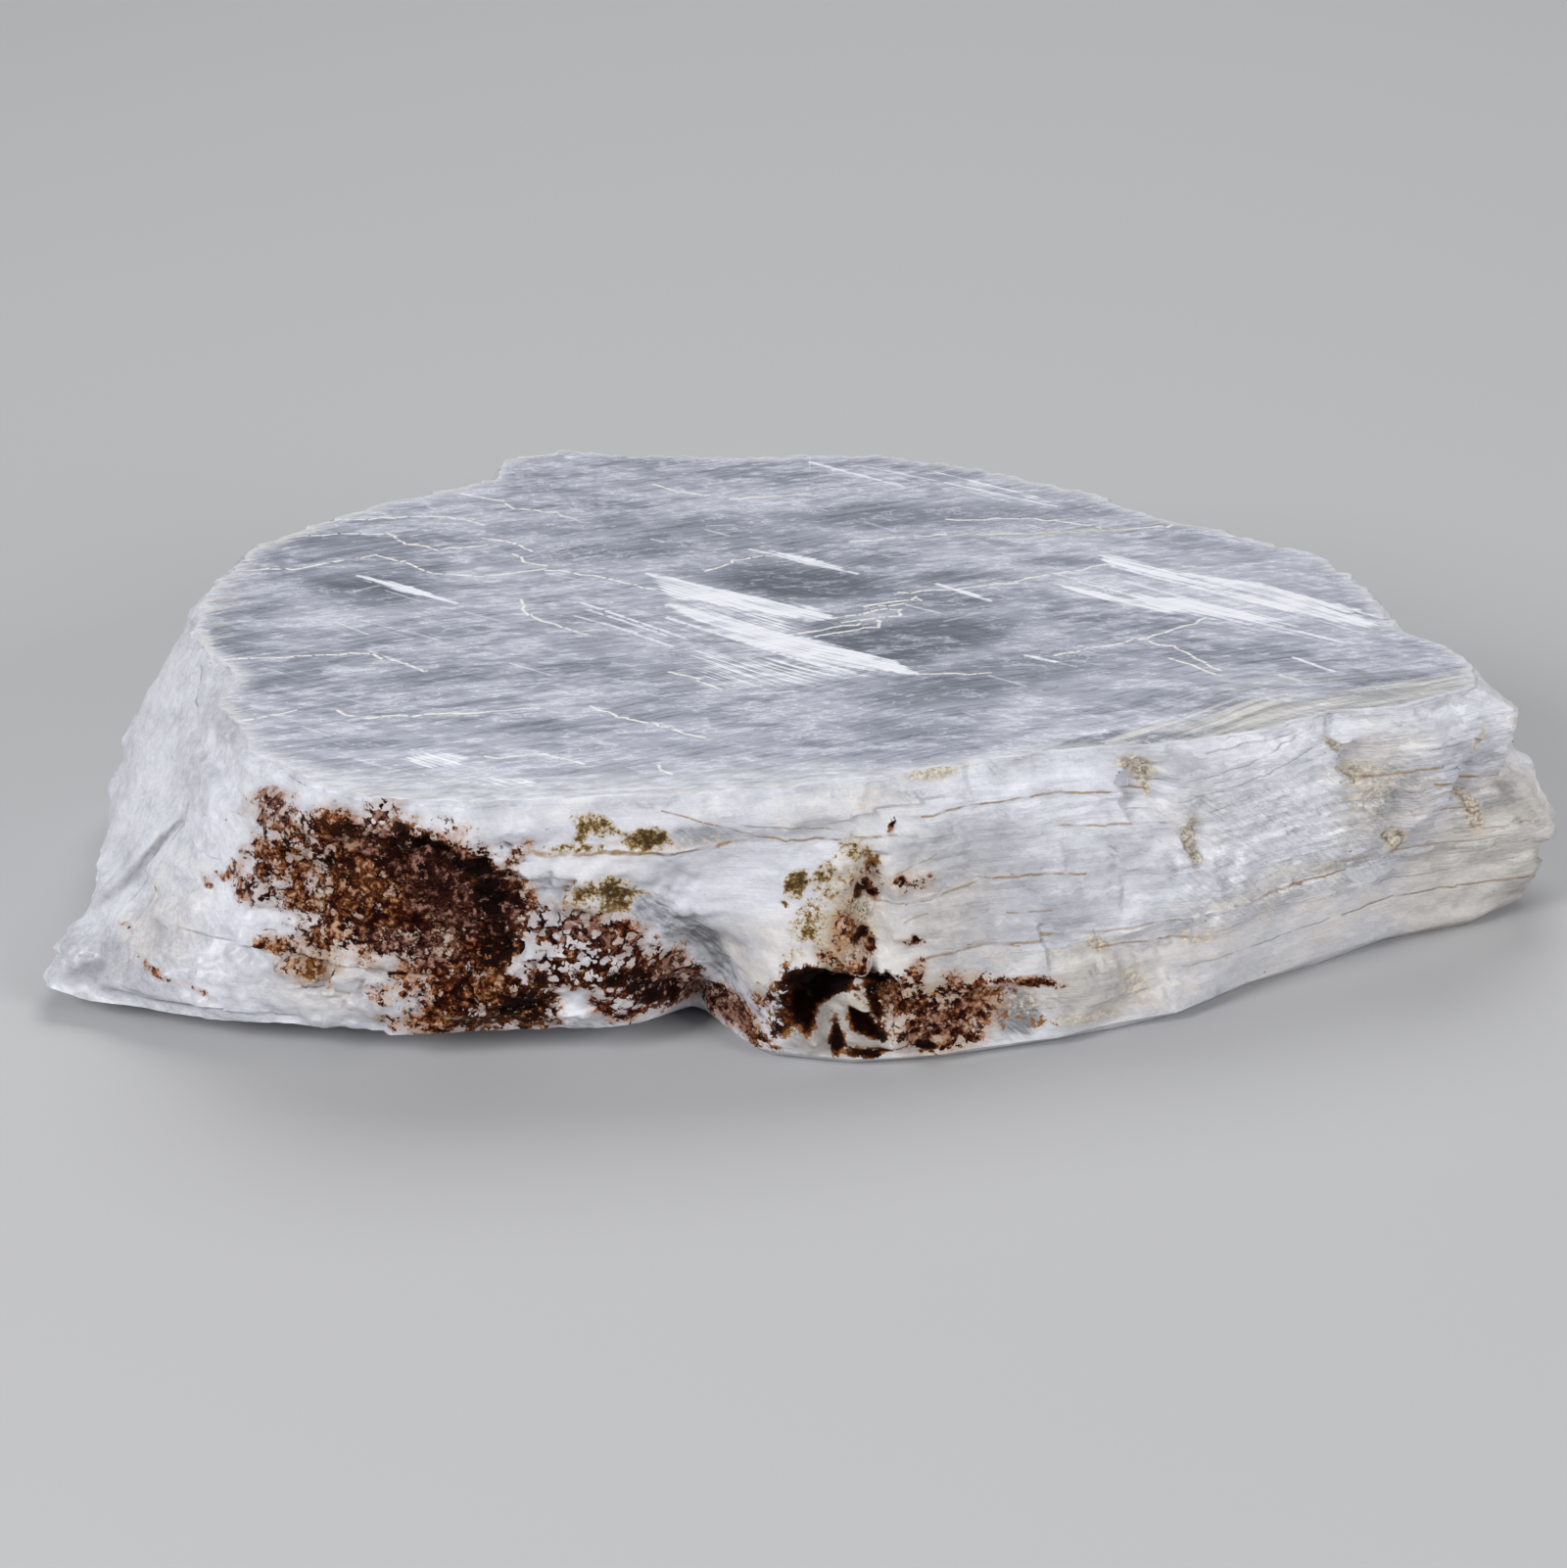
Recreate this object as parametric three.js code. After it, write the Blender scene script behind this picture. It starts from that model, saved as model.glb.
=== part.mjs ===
// A cleaved slab of selenite: one crystal, split along two parallel cleavage planes and broken off
// all round. The top and the sole are cleavage planes. The wall between them is broken across the
// crystal's thin growth sheets, so it is stepped along them. It has a toe at the left front corner,
// a valley, a brown cavity at the base, a cleft and small pits.
import * as THREE from "three";

// Driving dimensions, in millimetres. X runs along the slab, Y towards its back, Z up.
const THICKNESS = 46;
const AXIS = new THREE.Vector2(4, 6); // the upright line from which the wall is laid out

// The outlines of the wall at six levels, anticlockwise from the left end, as [x, y, z].
const RIM = [
  [-101, 2], [-99, -10], [-91, -23], [-93, -35], [-88, -46], [-86, -54], [-78, -62], [-75, -66],
  [-65, -73], [-49, -75], [-33, -73], [-20, -73], [-2, -70], [11, -66], [23, -62], [33, -58],
  [43, -54], [60, -52], [67, -50], [77, -46], [90, -38], [102, -36], [107, -32], [115, -27],
  [116, -19], [113, -10], [105, -1], [103, 16], [96, 33], [78, 47], [70, 51], [63, 58], [58, 65],
  [37, 79], [19, 86], [13, 87], [-7, 85], [-30, 86], [-41, 89], [-53, 84], [-54, 73], [-66, 65],
  [-80, 55], [-90, 43], [-95, 38], [-100, 19], [-101, 13],
].map(([x, y]) => [x, y, THICKNESS]);
const SHOULDER = [
  [-105, 0, 41], [-104, -12, 40], [-97, -26, 40], [-96, -37, 40], [-91, -49, 41], [-88, -58, 41],
  [-77, -68, 41], [-65, -75, 41], [-49, -77, 41], [-33, -75, 41], [-18, -74, 41], [-2, -72, 41],
  [11, -68, 41], [24, -64, 41], [43, -57, 42], [66, -53, 42], [78, -48, 42], [92, -40, 42],
  [107, -35, 42], [121, -28, 42], [122, -24, 41], [117, -15, 41], [109, -5, 42], [105, 18, 42],
  [98, 35, 42], [80, 49, 42], [66, 60, 42], [59, 68, 42], [38, 81, 42], [16, 90, 42], [-8, 88, 42],
  [-42, 91, 42], [-55, 84, 42], [-58, 74, 42], [-83, 56, 42], [-98, 39, 42], [-104, 15, 42],
];
const WAIST = [
  [-113, -6, 27], [-109, -22, 27], [-100, -40, 28], [-94, -54, 27], [-84, -66, 27], [-72, -73, 27],
  [-60, -76, 27], [-45, -77, 27], [-30, -75, 27], [-18, -71, 27], [-9, -70, 27], [1, -72, 27],
  [12, -71, 27], [30, -65, 27], [48, -60, 27], [64, -56, 27], [80, -47, 27], [93, -41, 28],
  [106, -36, 29], [120, -28, 30], [124, -20, 30], [123, -6, 30], [114, 3, 30], [107, 18, 28],
  [100, 38, 27], [82, 53, 27], [65, 68, 27], [40, 84, 27], [17, 93, 27], [-10, 91, 27], [-40, 94, 27],
  [-60, 88, 27], [-63, 77, 27], [-86, 62, 27], [-104, 44, 27], [-112, 18, 27],
];
const LEDGE = [
  [-117, 0, 15], [-116, -18, 15], [-115, -33, 15], [-112, -43, 16], [-105, -56, 14], [-99, -62, 14],
  [-86, -69, 14], [-72, -75, 15], [-55, -78, 15], [-40, -78, 15], [-26, -75, 15], [-17, -69, 15],
  [-9, -69, 15], [-1, -75, 14], [12, -76, 13], [26, -72, 12], [48, -66, 12], [61, -58, 13],
  [71, -55, 15], [82, -46, 16], [94, -40, 18], [104, -34, 19], [118, -29, 20], [129, -23, 17],
  [131, -12, 16], [130, 1, 17], [121, 12, 18], [112, 28, 16], [104, 44, 15], [86, 59, 15],
  [66, 74, 15], [41, 90, 15], [18, 98, 15], [-10, 96, 15], [-42, 98, 15], [-66, 91, 15], [-90, 68, 15],
  [-110, 46, 15], [-116, 20, 15],
];
const FOOT = [
  [-117, -24, 3], [-119, -37, 4], [-121.5, -51, 5], [-120, -57, 5], [-113, -60, 4], [-102, -64, 4],
  [-87, -69, 5], [-72, -73, 6], [-63, -76, 6], [-50, -74, 6], [-38, -74, 6], [-25, -73, 6],
  [-20, -69, 6], [-17, -65, 6], [-14, -63, 5], [-10, -66, 3], [-5, -72, 2], [-2, -74, 2], [11, -77, 2],
  [25, -75, 2], [44, -69, 2], [54, -64, 2], [64, -60, 2], [77, -49, 2], [90, -40, 2], [102, -32, 2],
  [118, -25, 2], [127, -17, 2], [128, -8, 2], [128, 4, 2], [117, 17, 2], [107, 34, 2], [95, 50, 2],
  [62, 75, 2], [38, 89, 2], [16, 96, 2], [-12, 94, 2], [-44, 95, 2], [-68, 87, 2], [-90, 67, 2],
  [-109, 46, 2], [-116, 18, 2],
];
const SOLE = [
  [-111, -18], [-110, -32], [-104, -43], [-88, -51], [-62, -57], [-40, -57], [-22, -54], [-14, -54],
  [-10, -59], [-5, -68], [-2, -71], [11, -74], [25, -72], [44, -66], [54, -62], [64, -57], [77, -46],
  [90, -38], [102, -29], [117, -23], [126, -12], [126, 3], [115, 15], [105, 32], [93, 48], [61, 73],
  [37, 87], [16, 94], [-12, 92], [-43, 93], [-66, 85], [-88, 65], [-107, 44], [-113, 18],
].map(([x, y]) => [x, y, 0]);

// Hollows, pits and lumps of the wall: the middle, the reach along X, Y and Z, and how far the wall
// goes in (or out, where negative). The crisper one is, the steeper its edge and the flatter its floor.
const FORMS = [
  { at: [-62, -75, 26], reach: [32, 14, 15], depth: 2.4, crisp: 0.75 }, // rusty hollow under the rim
  { at: [-38, -75, 13], reach: [16, 10, 9], depth: -1.2, crisp: 0.3 }, // swelling of the rusty base
  { at: [-13, -68, 12], reach: [9, 12, 15], depth: 3.5, crisp: 0.2 }, // valley between the two blocks
  { at: [10, -74, 11], reach: [10, 8, 5], depth: 7, crisp: 0.7 }, // brown cavity at the base
  { at: [14, -70, 24], reach: [4, 8, 13], depth: 3, crisp: 0.35 }, // upright cleft
  { at: [59, -54, 40], reach: [5, 7, 6], depth: 3.2, crisp: 0.6 }, // notch under the rim
  { at: [67, -54, 31], reach: [2.6, 6, 6], depth: 2.2, crisp: 0.6 }, // slot
  { at: [95, -40, 38], reach: [4, 7, 4], depth: 2.4, crisp: 0.6 }, // pits of the right block
  { at: [101, -37, 27], reach: [4, 7, 5], depth: 2.4, crisp: 0.6 },
  { at: [113, -31, 31], reach: [3, 6, 4], depth: 2, crisp: 0.6 },
  { at: [125, -20, 28], reach: [8, 14, 2.6], depth: 2, crisp: 0.4 }, // split of the right end
  { at: [127, -22, 9], reach: [9, 10, 6], depth: -1.4, crisp: 0.3 }, // knob of the right end
  { at: [-115, -36, 12], reach: [6, 9, 4], depth: 2, crisp: 0.3 }, // crack above the toe
  { at: [-107, -50, 18], reach: [7, 9, 4], depth: 1.8, crisp: 0.3 },
  { at: [-100, -57, 23], reach: [6, 7, 4], depth: 1.2, crisp: 0.3 },
  { at: [-119, -52, 7], reach: [8, 9, 4], depth: -2, crisp: 0.3 }, // blunt end of the toe
];
const CALM_PLACES = [ // where the wall broke smoothly, and how much of its roughness that takes away
  { at: [-108, -15, 28], reach: [24, 50, 34], depth: 0.6, crisp: 0.5 }, // the left face
  { at: [84, -44, 8], reach: [46, 28, 8], depth: 0.6, crisp: 0.6 }, // the lower right facet
  { at: [-2, -70, 26], reach: [12, 12, 12], depth: 0.4, crisp: 0.4 }, // the block beside the cleft
];

// The wall's roughness all over: each kind's size, and how far it stands out at most.
const SHEET = 5.2; // a bundle of growth sheets that broke off together
const SHEET_STEP = 1.5;
const SHEET_RUN = 17; // how far along the wall a bundle keeps its step
const SHEET_WAVE = 40; // the size of the waves in the sheets
const SHEET_DIP = 0.6; // how high those waves are, in bundles
const SHEET_APART = 7.3; // steps this far through the noise make the bundles independent
const LUMP = 13;
const LUMP_HEIGHT = 1.8;
const CHIP = 5;
const CHIP_HEIGHT = 0.7;
const FLATNESS = 0.7; // the height of a lump or chip for its length
const RIM_CHIP = 4;
const RIM_CHIP_HEIGHT = 0.9;
const RIM_FADE = 6; // over this height below the top the wall's relief dies out
const SOLE_FADE = 6; // and over this height above the sole

const COLUMNS = 204;
const TRIALS = 4000; // angles tried to space the columns
const FRONT_DENSITY = 1.7; // columns are this much closer on the front wall, which has the most relief
const FRONT_Y = -20; // where the front wall begins
const BANDS = [ // the rows of faces between one level and the next
  { from: RIM, to: SHOULDER, rows: 2 },
  { from: SHOULDER, to: WAIST, rows: 6 },
  { from: WAIST, to: LEDGE, rows: 5 },
  { from: LEDGE, to: FOOT, rows: 5 },
  { from: FOOT, to: SOLE, rows: 1 },
];

const fract = (x) => x - Math.floor(x);
const smooth = (t) => t * t * (3 - 2 * t);

// A repeatable number from 0 to 1 for each cell of space.
const cell = (i, j, k) => fract(Math.sin(i * 127.1 + j * 311.7 + k * 74.7) * 43758.5453);

// Smooth noise from -1 to 1: the cells' numbers, blended.
function noise(x, y, z) {
  const [i, j, k] = [x, y, z].map(Math.floor);
  const [u, v, w] = [x - i, y - j, z - k].map(smooth);
  const mix = THREE.MathUtils.lerp;
  const edge = (dj, dk) => mix(cell(i, j + dj, k + dk), cell(i + 1, j + dj, k + dk), u);
  return 2 * mix(mix(edge(0, 0), edge(1, 0), v), mix(edge(0, 1), edge(1, 1), v), w) - 1;
}

// An outline as seen from the axis: its corners sorted by angle.
function aroundAxis(outline) {
  const corners = outline.map(([x, y, z]) => {
    const at = new THREE.Vector2(x, y).sub(AXIS);
    return { at, z, angle: Math.atan2(at.y, at.x) };
  });
  return corners.sort((a, b) => a.angle - b.angle);
}

// Where the ray at an angle meets the outline's straight sides: its distance and height.
function meet(corners, angle) {
  // Past the last corner the side leads back to the first one.
  const next = Math.max(corners.findIndex((corner) => corner.angle > angle), 0);
  const a = corners[(next + corners.length - 1) % corners.length];
  const b = corners[next];
  const [c, s] = [Math.cos(angle), Math.sin(angle)];
  const across = c * (b.at.y - a.at.y) - s * (b.at.x - a.at.x);
  const distance = (a.at.x * b.at.y - a.at.y * b.at.x) / across;
  const ahead = Math.hypot(c * distance - a.at.x, s * distance - a.at.y);
  return { distance, z: THREE.MathUtils.lerp(a.z, b.z, ahead / a.at.distanceTo(b.at)) };
}

// The angles of the columns: evenly spaced along the waist, and closer together at the front.
function columnAngles() {
  const waist = aroundAxis(WAIST);
  const angles = Array.from({ length: TRIALS + 1 }, (_, i) => Math.PI * ((2 * i) / TRIALS - 1));
  const reached = [0]; // how much of the waist lies behind each angle
  let last = null;
  for (const angle of angles) {
    const { distance } = meet(waist, angle);
    const at = new THREE.Vector2(Math.cos(angle), Math.sin(angle)).multiplyScalar(distance);
    if (last) {
      const density = at.y + AXIS.y < FRONT_Y ? FRONT_DENSITY : 1;
      reached.push(reached[reached.length - 1] + density * at.distanceTo(last));
    }
    last = at;
  }
  return Array.from({ length: COLUMNS }, (_, column) => {
    const wanted = (reached[TRIALS] * column) / COLUMNS;
    const after = reached.findIndex((r) => r > wanted);
    const part = (wanted - reached[after - 1]) / (reached[after] - reached[after - 1]);
    return THREE.MathUtils.lerp(angles[after - 1], angles[after], part);
  });
}

// How much of a form is felt at a point: 1 on its floor and 0 beyond its reach.
function share({ at, reach, crisp }, point) {
  const away = Math.hypot(...point.map((v, i) => (v - at[i]) / reach[i]));
  return smooth(THREE.MathUtils.clamp((1 - away) / (1 - crisp), 0, 1));
}

// How far the broken wall stands out from its plain shape at a point.
function relief(x, y, z) {
  const grain = (size) => noise(x / size, y / size, z / (FLATNESS * size));
  const sheet = Math.floor(z / SHEET + SHEET_DIP * noise(x / SHEET_WAVE, y / SHEET_WAVE, 0));
  let out = SHEET_STEP * noise(x / SHEET_RUN, y / SHEET_RUN, SHEET_APART * sheet);
  out += LUMP_HEIGHT * grain(LUMP) + CHIP_HEIGHT * grain(CHIP);
  for (const place of CALM_PLACES) out *= 1 - place.depth * share(place, [x, y, z]);
  for (const form of FORMS) out -= form.depth * share(form, [x, y, z]);
  return out;
}

// A point of the wall at an angle, part of the way down from one outline to the next.
function wallPoint(angle, from, to, part) {
  const [high, low] = [meet(from, angle), meet(to, angle)];
  const plain = THREE.MathUtils.lerp(high.distance, low.distance, part);
  const z = THREE.MathUtils.lerp(high.z, low.z, part);
  const outward = new THREE.Vector2(Math.cos(angle), Math.sin(angle));
  const at = AXIS.clone().addScaledVector(outward, plain);
  // The relief dies out at the rim, which has its own small chips, and at the sole.
  const fade = smooth(THREE.MathUtils.clamp((THICKNESS - z) / RIM_FADE, 0, 1));
  const chips = RIM_CHIP_HEIGHT * noise(at.x / RIM_CHIP, at.y / RIM_CHIP, 0.5) * (1 - fade);
  const out = relief(at.x, at.y, z) * fade * smooth(THREE.MathUtils.clamp(z / SOLE_FADE, 0, 1));
  at.addScaledVector(outward, out + chips);
  return new THREE.Vector3(at.x, at.y, z);
}

// One column of the wall, from the rim down to the edge of the sole.
function column(angle, bands) {
  const points = bands.flatMap(({ from, to, rows }) => {
    return Array.from({ length: rows }, (_, row) => wallPoint(angle, from, to, row / rows));
  });
  const { from, to } = bands[bands.length - 1];
  return [...points, wallPoint(angle, from, to, 1)];
}

// The slab's surface: the wall as a closed band of columns, and the two flat cleavage planes.
function slabGeometry() {
  const bands = BANDS.map(({ from, to, rows }) => {
    return { from: aroundAxis(from), to: aroundAxis(to), rows };
  });
  const columns = columnAngles().map((angle) => column(angle, bands));
  const height = columns[0].length;
  const index = [];
  columns.forEach((_, c) => {
    const next = (c + 1) % COLUMNS;
    for (let r = 0; r + 1 < height; r++) {
      const [a, b] = [c * height + r, next * height + r];
      index.push(a, a + 1, b, b, a + 1, b + 1);
    }
  });
  const flat = (row) => columns.map((points) => new THREE.Vector2(points[row].x, points[row].y));
  for (const [a, b, c] of THREE.ShapeUtils.triangulateShape(flat(0), [])) {
    index.push(a * height, b * height, c * height);
  }
  for (const [a, b, c] of THREE.ShapeUtils.triangulateShape(flat(height - 1), [])) {
    index.push((a + 1) * height - 1, (c + 1) * height - 1, (b + 1) * height - 1);
  }
  const geometry = new THREE.BufferGeometry().setFromPoints(columns.flat());
  geometry.setIndex(index);
  // The frame's origin is under the middle of the slab's box, on the sole.
  geometry.computeBoundingBox();
  const middle = geometry.boundingBox.getCenter(new THREE.Vector3());
  geometry.translate(-middle.x, -middle.y, 0);
  geometry.computeVertexNormals();
  return geometry;
}

const selenite = new THREE.MeshStandardMaterial({
  color: new THREE.Color(0.8, 0.8, 0.83),
  roughness: 0.35,
  metalness: 0,
});

const slab = new THREE.Mesh(slabGeometry(), selenite);
slab.name = "selenite_slab";

const specimen = new THREE.Group();
specimen.add(slab);

export default specimen;
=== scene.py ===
import bpy
import numpy as np
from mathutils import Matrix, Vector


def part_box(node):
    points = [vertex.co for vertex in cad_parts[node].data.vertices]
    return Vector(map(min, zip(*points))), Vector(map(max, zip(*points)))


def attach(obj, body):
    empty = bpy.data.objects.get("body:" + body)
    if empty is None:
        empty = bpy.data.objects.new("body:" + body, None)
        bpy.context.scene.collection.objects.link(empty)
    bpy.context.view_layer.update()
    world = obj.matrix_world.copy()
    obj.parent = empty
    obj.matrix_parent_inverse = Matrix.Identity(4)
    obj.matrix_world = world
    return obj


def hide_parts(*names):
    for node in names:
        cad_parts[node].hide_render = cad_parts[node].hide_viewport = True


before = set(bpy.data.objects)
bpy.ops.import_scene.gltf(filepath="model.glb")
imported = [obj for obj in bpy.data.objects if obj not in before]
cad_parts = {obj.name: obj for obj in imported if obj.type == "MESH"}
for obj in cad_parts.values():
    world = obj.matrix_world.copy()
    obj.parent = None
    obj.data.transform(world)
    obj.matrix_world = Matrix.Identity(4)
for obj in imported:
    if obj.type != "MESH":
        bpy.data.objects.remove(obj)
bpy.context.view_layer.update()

# ------------------------------------------------------------------------------------------------
# The slab: one crystal of selenite, split along two parallel cleavage planes 46 mm apart and broken
# off all round. The wall between the planes is broken across the crystal's thin growth sheets, so it
# is stepped along them. Lengths are in millimetres up to the mesh. X runs along the slab, Y back.

THICKNESS = 46.0
AXIS = np.array([4.0, 6.0])  # the upright line from which the wall is laid out

# The outlines of the wall at six levels, anticlockwise from the left end, as (x, y, z).
RIM = [
    (-101, 2), (-99, -10), (-91, -23), (-93, -35), (-88, -46), (-86, -54), (-78, -62), (-75, -66),
    (-65, -73), (-49, -75), (-33, -73), (-20, -73), (-2, -70), (11, -66), (23, -62), (33, -58), (43, -54),
    (60, -52), (67, -50), (77, -46), (90, -38), (102, -36), (107, -32), (115, -27), (116, -19),
    (113, -10), (105, -1), (103, 16), (96, 33), (78, 47), (70, 51), (63, 58), (58, 65), (37, 79),
    (19, 86), (13, 87), (-7, 85), (-30, 86), (-41, 89), (-53, 84), (-54, 73), (-66, 65), (-80, 55),
    (-90, 43), (-95, 38), (-100, 19), (-101, 13),
]
SHOULDER = [
    (-105, 0, 41), (-104, -12, 40), (-97, -26, 40), (-96, -37, 40), (-91, -49, 41), (-88, -58, 41),
    (-77, -68, 41), (-65, -75, 41), (-49, -77, 41), (-33, -75, 41), (-18, -74, 41), (-2, -72, 41),
    (11, -68, 41), (24, -64, 41), (43, -57, 42), (66, -53, 42), (78, -48, 42), (92, -40, 42),
    (107, -35, 42), (121, -28, 42), (122, -24, 41), (117, -15, 41), (109, -5, 42), (105, 18, 42),
    (98, 35, 42), (80, 49, 42), (66, 60, 42), (59, 68, 42), (38, 81, 42), (16, 90, 42), (-8, 88, 42),
    (-42, 91, 42), (-55, 84, 42), (-58, 74, 42), (-83, 56, 42), (-98, 39, 42), (-104, 15, 42),
]
WAIST = [
    (-113, -6, 27), (-109, -22, 27), (-100, -40, 28), (-94, -54, 27), (-84, -66, 27), (-72, -73, 27),
    (-60, -76, 27), (-45, -77, 27), (-30, -75, 27), (-18, -71, 27), (-9, -70, 27), (1, -72, 27),
    (12, -71, 27), (30, -65, 27), (48, -60, 27), (64, -56, 27), (80, -47, 27), (93, -41, 28),
    (106, -36, 29), (120, -28, 30), (124, -20, 30), (123, -6, 30), (114, 3, 30), (107, 18, 28),
    (100, 38, 27), (82, 53, 27), (65, 68, 27), (40, 84, 27), (17, 93, 27), (-10, 91, 27),
    (-40, 94, 27), (-60, 88, 27), (-63, 77, 27), (-86, 62, 27), (-104, 44, 27), (-112, 18, 27),
]
LEDGE = [
    (-117, 0, 15), (-116, -18, 15), (-115, -33, 15), (-112, -43, 16), (-105, -56, 14), (-99, -62, 14),
    (-86, -69, 14), (-72, -75, 15), (-55, -78, 15), (-40, -78, 15), (-26, -75, 15), (-17, -69, 15),
    (-9, -69, 15), (-1, -75, 14), (12, -76, 13), (26, -72, 12), (48, -66, 12), (61, -58, 13),
    (71, -55, 15), (82, -46, 16), (94, -40, 18), (104, -34, 19), (118, -29, 20), (129, -23, 17),
    (131, -12, 16), (130, 1, 17), (121, 12, 18), (112, 28, 16), (104, 44, 15), (86, 59, 15),
    (66, 74, 15), (41, 90, 15), (18, 98, 15), (-10, 96, 15), (-42, 98, 15), (-66, 91, 15),
    (-90, 68, 15), (-110, 46, 15), (-116, 20, 15),
]
FOOT = [
    (-117, -24, 3), (-119, -37, 4), (-121.5, -51, 5), (-120, -57, 5), (-113, -60, 4), (-102, -64, 4),
    (-87, -69, 5), (-72, -73, 6), (-63, -76, 6), (-50, -74, 6), (-38, -74, 6), (-25, -73, 6),
    (-20, -69, 6), (-17, -65, 6), (-14, -63, 5), (-10, -66, 3), (-5, -72, 2), (-2, -74, 2),
    (11, -77, 2), (25, -75, 2), (44, -69, 2), (54, -64, 2), (64, -60, 2), (77, -49, 2), (90, -40, 2),
    (102, -32, 2), (118, -25, 2), (127, -17, 2), (128, -8, 2), (128, 4, 2), (117, 17, 2),
    (107, 34, 2), (95, 50, 2), (62, 75, 2), (38, 89, 2), (16, 96, 2), (-12, 94, 2), (-44, 95, 2),
    (-68, 87, 2), (-90, 67, 2), (-109, 46, 2), (-116, 18, 2),
]
SOLE = [
    (-111, -18), (-110, -32), (-104, -43), (-88, -51), (-62, -57), (-40, -57), (-22, -54), (-14, -54),
    (-10, -59), (-5, -68), (-2, -71), (11, -74), (25, -72), (44, -66), (54, -62), (64, -57), (77, -46),
    (90, -38), (102, -29), (117, -23), (126, -12), (126, 3), (115, 15), (105, 32), (93, 48), (61, 73),
    (37, 87), (16, 94), (-12, 92), (-43, 93), (-66, 85), (-88, 65), (-107, 44), (-113, 18),
]
OUTLINES = [
    np.array([(x, y, THICKNESS) for x, y in RIM]), np.array(SHOULDER, float), np.array(WAIST, float),
    np.array(LEDGE, float), np.array(FOOT, float), np.array([(x, y, 0.0) for x, y in SOLE]),
]

# Hollows, pits and lumps: middle, reach along X, Y and Z, depth (negative stands out), crispness.
FORMS = [
    ((-62, -75, 26), (32, 14, 15), 2.4, 0.75),  # rusty hollow under the rim
    ((-38, -75, 13), (16, 10, 9), -1.2, 0.3),  # swelling of the rusty base
    ((-13, -68, 12), (9, 12, 15), 3.5, 0.2),  # valley between the two blocks
    ((10, -74, 11), (10, 8, 5), 7.0, 0.7),  # brown cavity at the base
    ((14, -70, 24), (4, 8, 13), 3.0, 0.35),  # upright cleft
    ((59, -54, 40), (5, 7, 6), 3.2, 0.6),  # notch under the rim
    ((67, -54, 31), (2.6, 6, 6), 1.5, 0.4),  # slot
    ((95, -40, 38), (4, 7, 4), 2.4, 0.6),  # pits of the right block
    ((101, -37, 27), (4, 7, 5), 2.4, 0.6),
    ((113, -31, 31), (3, 6, 4), 2.0, 0.6),
    ((125, -20, 28), (8, 14, 2.6), 2.0, 0.4),  # split of the right end
    ((127, -22, 9), (9, 10, 6), -1.4, 0.3),  # knob of the right end
    ((-115, -36, 12), (6, 9, 4), 2.0, 0.3),  # crack above the toe
    ((-107, -50, 18), (7, 9, 4), 1.8, 0.3),
    ((-100, -57, 23), (6, 7, 4), 1.2, 0.3),
    ((-119, -52, 7), (8, 9, 4), -1.2, 0.3),  # blunt end of the toe
    ((-117, -50, 10), (7, 10, 3.6), -2.4, 0.35),
]
LUMPS = [  # crystals that fill parts of the hollows, in the same way
    ((14, -71, 9.5), (6, 8, 2.2), -4.5, 0.5), ((4, -71, 5), (3.4, 8, 4), -4.0, 0.5),
    ((17, -70, 5.5), (4, 8, 2.4), -3.0, 0.5), ((-34, -77, 9), (4, 6, 3.2), -1.2, 0.4),
    ((-55, -76, 34), (7, 6, 3), -0.9, 0.3), ((-66, -75, 30), (5, 6, 5), -0.8, 0.3),
    ((-50, -76, 27), (4, 6, 4), -0.9, 0.3), ((5, -74, 15), (7, 7, 2.6), 2.0, 0.4),
]
CALM_PLACES = [  # where the wall broke smoothly, and how much of its roughness that takes away
    ((-108, -15, 28), (24, 50, 34), 0.6, 0.5),
    ((84, -44, 8), (50, 30, 9), 0.8, 0.7),
    ((-2, -70, 26), (14, 12, 13), 0.75, 0.5),
    ((38, -62, 27), (24, 14, 20), 0.6, 0.6),
    ((84, -44, 32), (30, 26, 18), 0.45, 0.6),
    ((-86, -64, 27), (15, 14, 16), 0.7, 0.5),
    ((-22, -73, 38), (40, 12, 8), 0.6, 0.5),
]

ALL_HEIGHTS = (-1e3, 1e3)
RIGHT_BLOCKS = (186, 236)  # the blocky stretch of the wall, along the waist from the left end
SHEETS_HIDDEN = [  # where the growth sheets don't show: along, margin, heights, margin, how much of them
    (RIGHT_BLOCKS, 8, ALL_HEIGHTS, 1, 0.6),
    ((72, 150), 6, (4, 42), 3, 0.8),
    ((150, 168), 5, (12, 35), 3, 0.85),
    ((228, 298), 8, (-1, 12), 3, 0.85),
    ((-40, 66), 6, ALL_HEIGHTS, 1, 0.9),
]

COLUMNS = 832
SHARP_ANGLE = 50  # faces that meet at more degrees than this make a crisp edge
TOP_SHARES = np.concatenate([[0.994, 0.985], np.linspace(0.97, 0.06, 54)])  # rings of the planes
SOLE_SHARES = np.linspace(0.985, 0.1, 16)
TOP_HALVINGS, SOLE_HALVINGS = (1, 28, 44), (1, 5, 9)  # the rings from which half the points are kept
ROWS = [7, 30, 21, 22, 5]  # between one outline and the next
FRONT_Y, FRONT_DENSITY = -20.0, 2.2  # columns are this much closer on the front wall


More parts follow.
